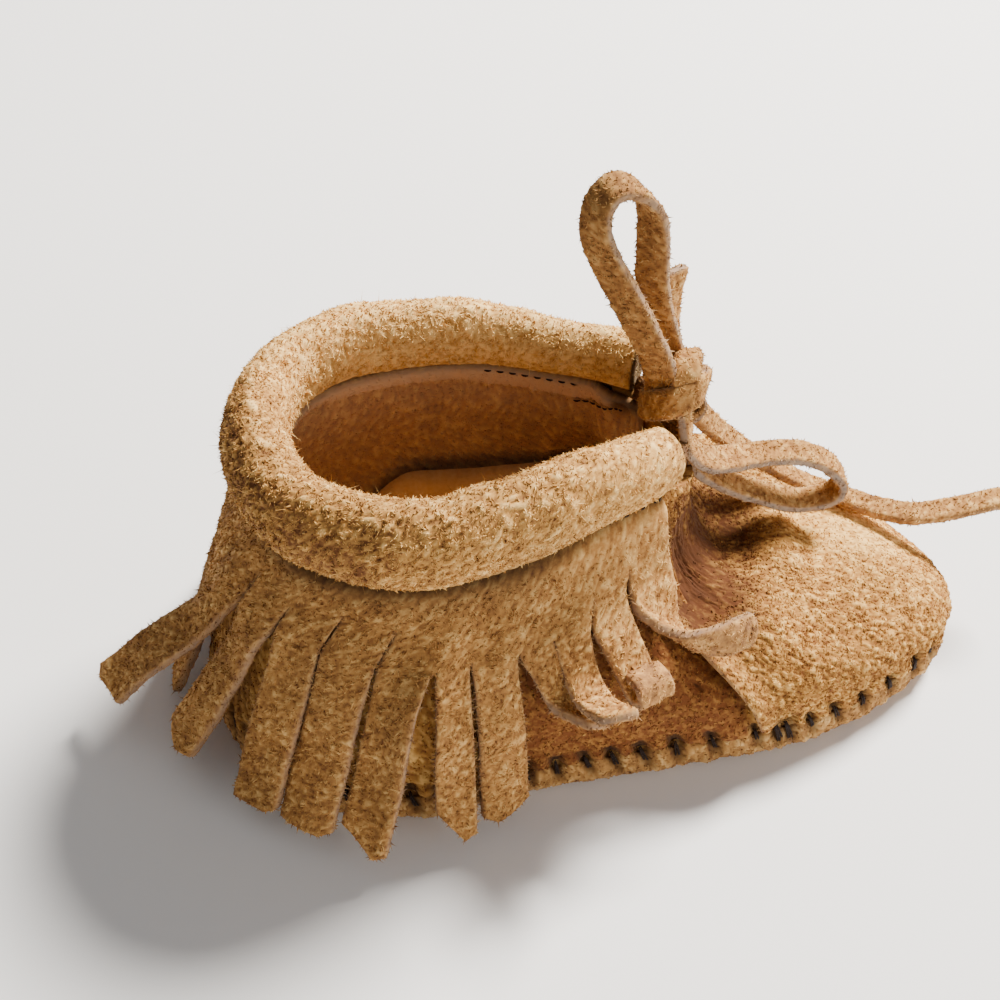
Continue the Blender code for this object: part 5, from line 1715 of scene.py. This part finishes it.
LOWER_LOOP = (
    (10.8, -1.6, 51.8),
    (11.3, -2.6, 48.6),
    (12.4, -2.2, 44.9),
    (15.3, -0.9, 41.2),
    (19.2, 1.2, 38.7),
    (24.3, 3.4, 37.1),
    (30.8, 4.5, 36.2),
    (36.4, 4.8, 33.9),
    (40.2, 4.5, 29.8),
    (38.9, 4.0, 26.9),
    (33.2, 3.5, 26.5),
    (26.5, 2.6, 29.6),
    (20.2, 1.6, 33.6),
    (15.5, 1.0, 37.6),
    (12.7, 0.6, 42.2),
    (11.5, 0.6, 47.2),
)
LOWER_W = [(0.35, 0.9, 0.1), (0.3, 0.95, 0.1)] + [(0.06, 1.0, 0.05)] * 14
loop_low = thong("lace_lower_loop", LOWER_LOOP, LOWER_W, "lace_loop_lower", "lace_loop_lower", 231, width=4.6, raw=0.75)
UPPER_END = ((11.4, 4.6, 51.3), (10.0, 6.3, 57.2), (9.2, 7.2, 64.0), (9.5, 8.0, 69.5))
end_up = thong(
    "lace_upper_end", UPPER_END, ((-0.5, -0.8, 0.1), (-0.5, -0.8, 0.1), (-0.6, -0.7, 0.1), (-0.75, -0.6, 0.1)), "lace_end_upper", "lace_end_upper", 241, width=4.4
)
LONG_END = (
    (12.6, 3.4, 49.6),
    (16.6, 5.5, 43.4),
    (21.4, 7.8, 37.1),
    (28.1, 9.8, 30.2),
    (36.0, 10.2, 24.2),
    (42.0, 9.4, 21.5),
    (48.6, 6.4, 20.6),
    (54.5, 4.2, 20.8),
    (61.5, 4.5, 21.2),
    (68.9, 5.5, 21.6),
    (75.0, 5.6, 22.2),
)
end_long = thong(
    "lace_long_end",
    LONG_END,
    ((0.3, 0.7, 0.6), (0.2, 0.8, 0.5), (0.1, 0.9, 0.3), (0, 1, 0.1), (0, 1, 0.0), (0, 1, 0.05), (0.2, 1, 0.1), (0, 1, 0.15), (0, 1, 0.1), (0, 1, 0.05), (0, 1, 0.1)),
    "lace_end_long",
    "lace_end_long",
    251,
    width=4.0,
    thick=1.6,
    raw=0.12,
)
for piece, far in ((loop_up, "object"), (loop_low, "object"), (end_long, "bare")):
    obj, fuzz, world, length = piece

# ------------------------------------------------------------------ thread: whip stitches round the sole, seam and hem dashes
def tubes(name, routes, radius, sides=6, mat=None):
    """Many short closed tubes as one mesh; each route is an array of points."""
    verts, quads, tris = [], [], []
    n0 = 0
    ring_a = 2 * np.pi * np.arange(sides) / sides
    for route, rad in zip(routes, radius):
        way = unit(np.gradient(route, axis=0))
        ref = np.array([0.0, 0.0, 1.0]) if abs(way[0][2]) < 0.8 else np.array([1.0, 0.0, 0.0])
        s1 = unit(np.cross(way, ref))
        s2 = np.cross(way, s1)
        m = len(route)
        taper = np.ones(m)
        taper[0] = taper[-1] = 0.55
        G = route[:, None] + (s1[:, None] * np.cos(ring_a)[None, :, None] + s2[:, None] * np.sin(ring_a)[None, :, None]) * (
            rad * taper
        )[:, None, None]
        verts.append(G.reshape(-1, 3))
        verts.append(route[[0, -1]])
        quads.append(grid_quads(m, sides, periodic_v=True, first=n0)[:, ::-1])
        k = np.arange(sides)
        k2 = (k + 1) % sides
        c0, c1 = n0 + m * sides, n0 + m * sides + 1
        tris.append(np.stack([np.full(sides, c0), n0 + k, n0 + k2], 1)[:, ::-1])
        tris.append(np.stack([np.full(sides, c1), n0 + (m - 1) * sides + k2, n0 + (m - 1) * sides + k], 1)[:, ::-1])
        n0 += m * sides + 2
    obj = make_mesh(name, np.concatenate(verts), [np.concatenate(quads), np.concatenate(tris)])
    obj.data.materials.append(mat or thread)
    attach(obj, "root")
    return obj


thread_rng = np.random.default_rng(9)
routes, radii = [], []
for i, share_i in enumerate(stitch_shares):
    size = stitch_size[i]
    for strand in range(3 if size > 1.2 else 2):
        off = (strand - (0.5 if size <= 1.2 else 1.0)) * 0.42 + thread_rng.normal(0, 0.06)
        zr = np.linspace(0.15, -3.3 * size, 6)
        dd = stitch_slope[i] * (zr - SLOT_MID) + off * np.linspace(0.5, 1.2, 6)
        base, outd = plan_at(share_i + dd / PERIMETER)
        into = np.array([1.2, 0.75, 0.62, 0.62, 0.72, 1.1]) + thread_rng.normal(0, 0.05, 6)
        zz = RIM_TOP + lift_of(base[:, 0]) + zr
        routes.append(np.concatenate([base - outd * into[:, None], zz[:, None]], 1))
        radii.append(0.14 + 0.05 * thread_rng.random())
tubes("seam_thread", routes, radii)

# dashes in the crease under the roll
routes, radii = [], []
seam_d = np.arange(0.8, cuff_run[-1] - 0.5, 2.9)
for d0 in seam_d:
    pts = []
    for t in np.linspace(0, 1.5, 4):
        p = cuff_point(d0 + t, 0.0, FRINGE_T / 2 + 0.05 + 0.30 * math.sin(math.pi * t / 1.5))
        p[2] += 0.28
        pts.append(p)
    routes.append(np.array(pts))
    radii.append(0.17)
tubes("collar_thread", routes, radii)

# dashes inside: the seam under the roll, and the facing's hem near the front
routes, radii = [], []
for line_z, share_lo, share_hi, pitch_mm in ((-0.35, 0.69, 0.768, 3.1), (40.6, 0.765, 0.820, 2.3)):
    s_ = share_lo
    while s_ < share_hi:
        pts = []
        for t in np.linspace(0, 1.7, 4):
            sh_ = s_ + t / 300.0
            k = int(round((sh_ % 1.0) * len(skin))) % len(skin)
            top_xy = top_point(sh_ % 1.0)
            here_z = float(np.interp(sh_, [0.765, 0.812], [line_z + 0.2, line_z + 3.6])) if line_z > 0 else SEAM_Z + line_z + float(rise_at(top_xy[0], top_xy[1]))
            v_ = float(np.interp(here_z, np.maximum.accumulate(skin[k, :, 2]), np.linspace(0, 1, TABLE_V)))
            p, n = on_skin(sh_, v_)
            past_t = min(sh_ - float(vamp_edge(v_, True)), 1.0 - float(vamp_edge(v_, False)) - sh_) * PERIMETER
            sunk_t = -1.9 * (1 - float(ease((past_t + 1.0) / 9.0)))
            inward = SUEDE + 0.30 + 0.14 * math.sin(math.pi * t / 1.7)
            pts.append(p + n * (sunk_t - inward))
        routes.append(np.array(pts))
        radii.append(0.15)
        s_ += pitch_mm / 300.0
tubes("lining_thread", routes, radii)

# ------------------------------------------------------------------ loose nap: small tufts standing out of the suede
def down_and_back(root):
    return np.broadcast_to(np.array([-0.5, -0.25, -0.8]), root.shape)


def towards_heel(root):
    return np.broadcast_to(np.array([-0.8, -0.3, -0.2]), root.shape)


seen = np.clip((vamp_v[:, 2] - 6.2) / 0.8, 0, 1) * np.where(vamp_look[:, 3] < 0.6, 0.06, 1.0)
top_smooth = np.exp(-(((vamp_v[:, 0] - 44) / 11) ** 2) - (((vamp_v[:, 1] - 3) / 9) ** 2)) * (vamp_v[:, 2] > 14)
vamp_tufts = tufts(
    "vamp_nap", vamp_v, vamp_q, vamp_look, 5.3, 0.46, 0.18, 60, 301, mask=seen * (1 - 0.55 * top_smooth), comb=towards_heel, comb_share=0.25
)
finish_piece(vamp_tufts, suede_upper, "upper")

seen = ease((quarter_v[:, 2] - 6.4) / 0.8) * (1 - ease((quarter_v[:, 2] - 24) / 8) * (quarter_v[:, 0] < 4))
seen *= np.where(quarter_look[:, 3] < 0.6, 0.06, 1.0)
quarter_tufts = tufts("quarter_nap", quarter_v, quarter_q, quarter_look, 2.4, 0.50, 0.19, 60, 303, mask=seen)
finish_piece(quarter_tufts, suede_upper, "upper")

inside = ease((quarter_v[:, 2] - 12) / 4) * (quarter_v[:, 1] > -6)
inner_tufts = tufts("lining_nap", quarter_v, quarter_qi, quarter_look, 2.5, 0.38, 0.14, 68, 305, mask=inside, spread=0.16)
finish_piece(inner_tufts, suede_upper, "upper")

over_seam = collar_v[:, 2] - seam_ring.reshape(-1)
front_calm = ease((collar_v[:, 0] + 22.0) / 22.0) * (collar_v[:, 1] < 4)
roll_seen = ease((over_seam - 2.0) / 1.0) * np.where(collar_look[:, 3] < 0.7, 0.25, 1.0) * (1 - 0.45 * front_calm)
collar_tufts = tufts(
    "collar_nap", collar_v, collar_q, collar_look, 6.3, 0.38, 0.17, 58, 307, mask=roll_seen, comb=down_and_back, comb_share=0.25, spread=0.12
)
finish_piece(collar_tufts, suede_collar, "collar")
stray = tufts("collar_stray_nap", collar_v, collar_q, collar_look, 0.30, 1.25, 0.05, 58, 317, mask=roll_seen, comb=down_and_back, comb_share=0.3)
finish_piece(stray, suede_collar, "collar")

free_of_seam = ease((np.concatenate([D, D, D[bverts], D[bverts]]) - 1.3) / 0.8)
cuff_calm = 1 - 0.35 * ease((fr_v[:, 0] + 26.0) / 20.0) * (fr_v[:, 1] < 0) * (fr_v[:, 2] > 26)
cuff_tufts = tufts(
    "fringe_nap", fr_v, q_out, fr_look, 4.6, 0.44, 0.16, 62, 309, mask=free_of_seam * cuff_calm, comb=down_and_back, comb_share=0.45
)
finish_piece(cuff_tufts, suede_fringe, "fringe")
first_four = np.arange(len(fr_v)) - count <= vid[:4].max()
strip_back = free_of_seam * (fr_v[:, 2] < SEAM_Z - BAND + 1.0) * np.where(first_four, 2.6, 0.8)
back_tufts = tufts("fringe_back_nap", fr_v, q_in_faces, fr_look, 1.3, 0.44, 0.17, 64, 310, mask=strip_back, comb=down_and_back, comb_share=0.35)
finish_piece(back_tufts, suede_fringe, "fringe")
edge_tufts = tufts("fringe_edge_nap", fr_v, w_faces, fr_look, 3.0, 0.55, 0.11, 50, 311, mask=free_of_seam, comb=down_and_back, comb_share=0.35)
finish_piece(edge_tufts, suede_fringe, "fringe")

idx_row = np.arange(len(sole_v)) % nv
rim_mask = (sole_v[:, 2] > 0.9) * np.where((idx_row > n_low + 24) | (idx_row < n_low + 3), 0.0, 1.0) * np.where(sole_look[:, 3] < 0.6, 0.05, 1.0)
sole_tufts = tufts("sole_nap", sole_v, sole_q, sole_look, 2.6, 0.46, 0.19, 62, 313, mask=rim_mask)
finish_piece(sole_tufts, suede_sole, "sole")

# ------------------------------------------------------------------ camera, light, floor
cam_data = bpy.data.cameras.new("camera")
cam_data.sensor_width = 36.0
cam_data.lens = 57.95
cam_data.shift_x = -0.010
cam_data.clip_start, cam_data.clip_end = 0.01, 20.0
cam = bpy.data.objects.new("camera", cam_data)
bpy.context.scene.collection.objects.link(cam)
right = Vector((0.990, -0.135, 0.047)).normalized()
back = Vector((-0.128, -0.695, 0.707))
back = (back - right * back.dot(right)).normalized()
up = back.cross(right)
rot = Matrix((right, up, back)).transposed().to_4x4()
cam.matrix_world = Matrix.Translation(Vector(((-44.2 + SHIFT[0]) * MM, (-167.4 + SHIFT[1]) * MM, 204.4 * MM))) @ rot
bpy.context.scene.camera = cam

world = bpy.data.worlds.new("studio")
world.use_nodes = True
world.node_tree.nodes["Background"].inputs[0].default_value = (0.96, 0.97, 1.0, 1)
world.node_tree.nodes["Background"].inputs[1].default_value = 0.235
bpy.context.scene.world = world


def area_light(name, place, target, size, power, colour):
    data = bpy.data.lights.new(name, "AREA")
    data.shape = "DISK"
    data.size = size
    data.energy = power
    data.color = colour
    obj = bpy.data.objects.new(name, data)
    bpy.context.scene.collection.objects.link(obj)
    obj.location = Vector(place)
    obj.rotation_mode = "QUATERNION"
    obj.rotation_quaternion = (Vector(target) - Vector(place)).to_track_quat("-Z", "Y")
    return obj


area_light("key", (0.48, 0.41, 0.74), (0.0, 0.0, 0.02), 0.30, 37.5, (1.0, 0.96, 0.90))
area_light("bounce", (0.55, -0.60, 0.30), (0.0, 0.0, 0.02), 0.6, 3.4, (1.0, 0.97, 0.93))

floor_mesh = bpy.data.meshes.new("floor")
floor_mesh.from_pydata([(-3, -3, 0), (3, -3, 0), (3, 3, 0), (-3, 3, 0)], [], [(0, 1, 2, 3)])
floor = bpy.data.objects.new("floor", floor_mesh)
bpy.context.scene.collection.objects.link(floor)
floor_mat = bpy.data.materials.new("floor")
floor_mat.use_nodes = True
floor_mat.node_tree.nodes["Principled BSDF"].inputs["Base Color"].default_value = (0.90, 0.885, 0.87, 1)
floor_mat.node_tree.nodes["Principled BSDF"].inputs["Roughness"].default_value = 0.9
floor_mesh.materials.append(floor_mat)
floor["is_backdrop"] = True

# ------------------------------------------------------------------ close
total_tris = 0
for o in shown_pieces():
    o.data.calc_loop_triangles() if o.type == "MESH" else None
    n_t = len(o.data.loop_triangles) if o.type == "MESH" else 0
    total_tris += n_t
    print("piece", o.name, n_t)
print("total", total_tris)
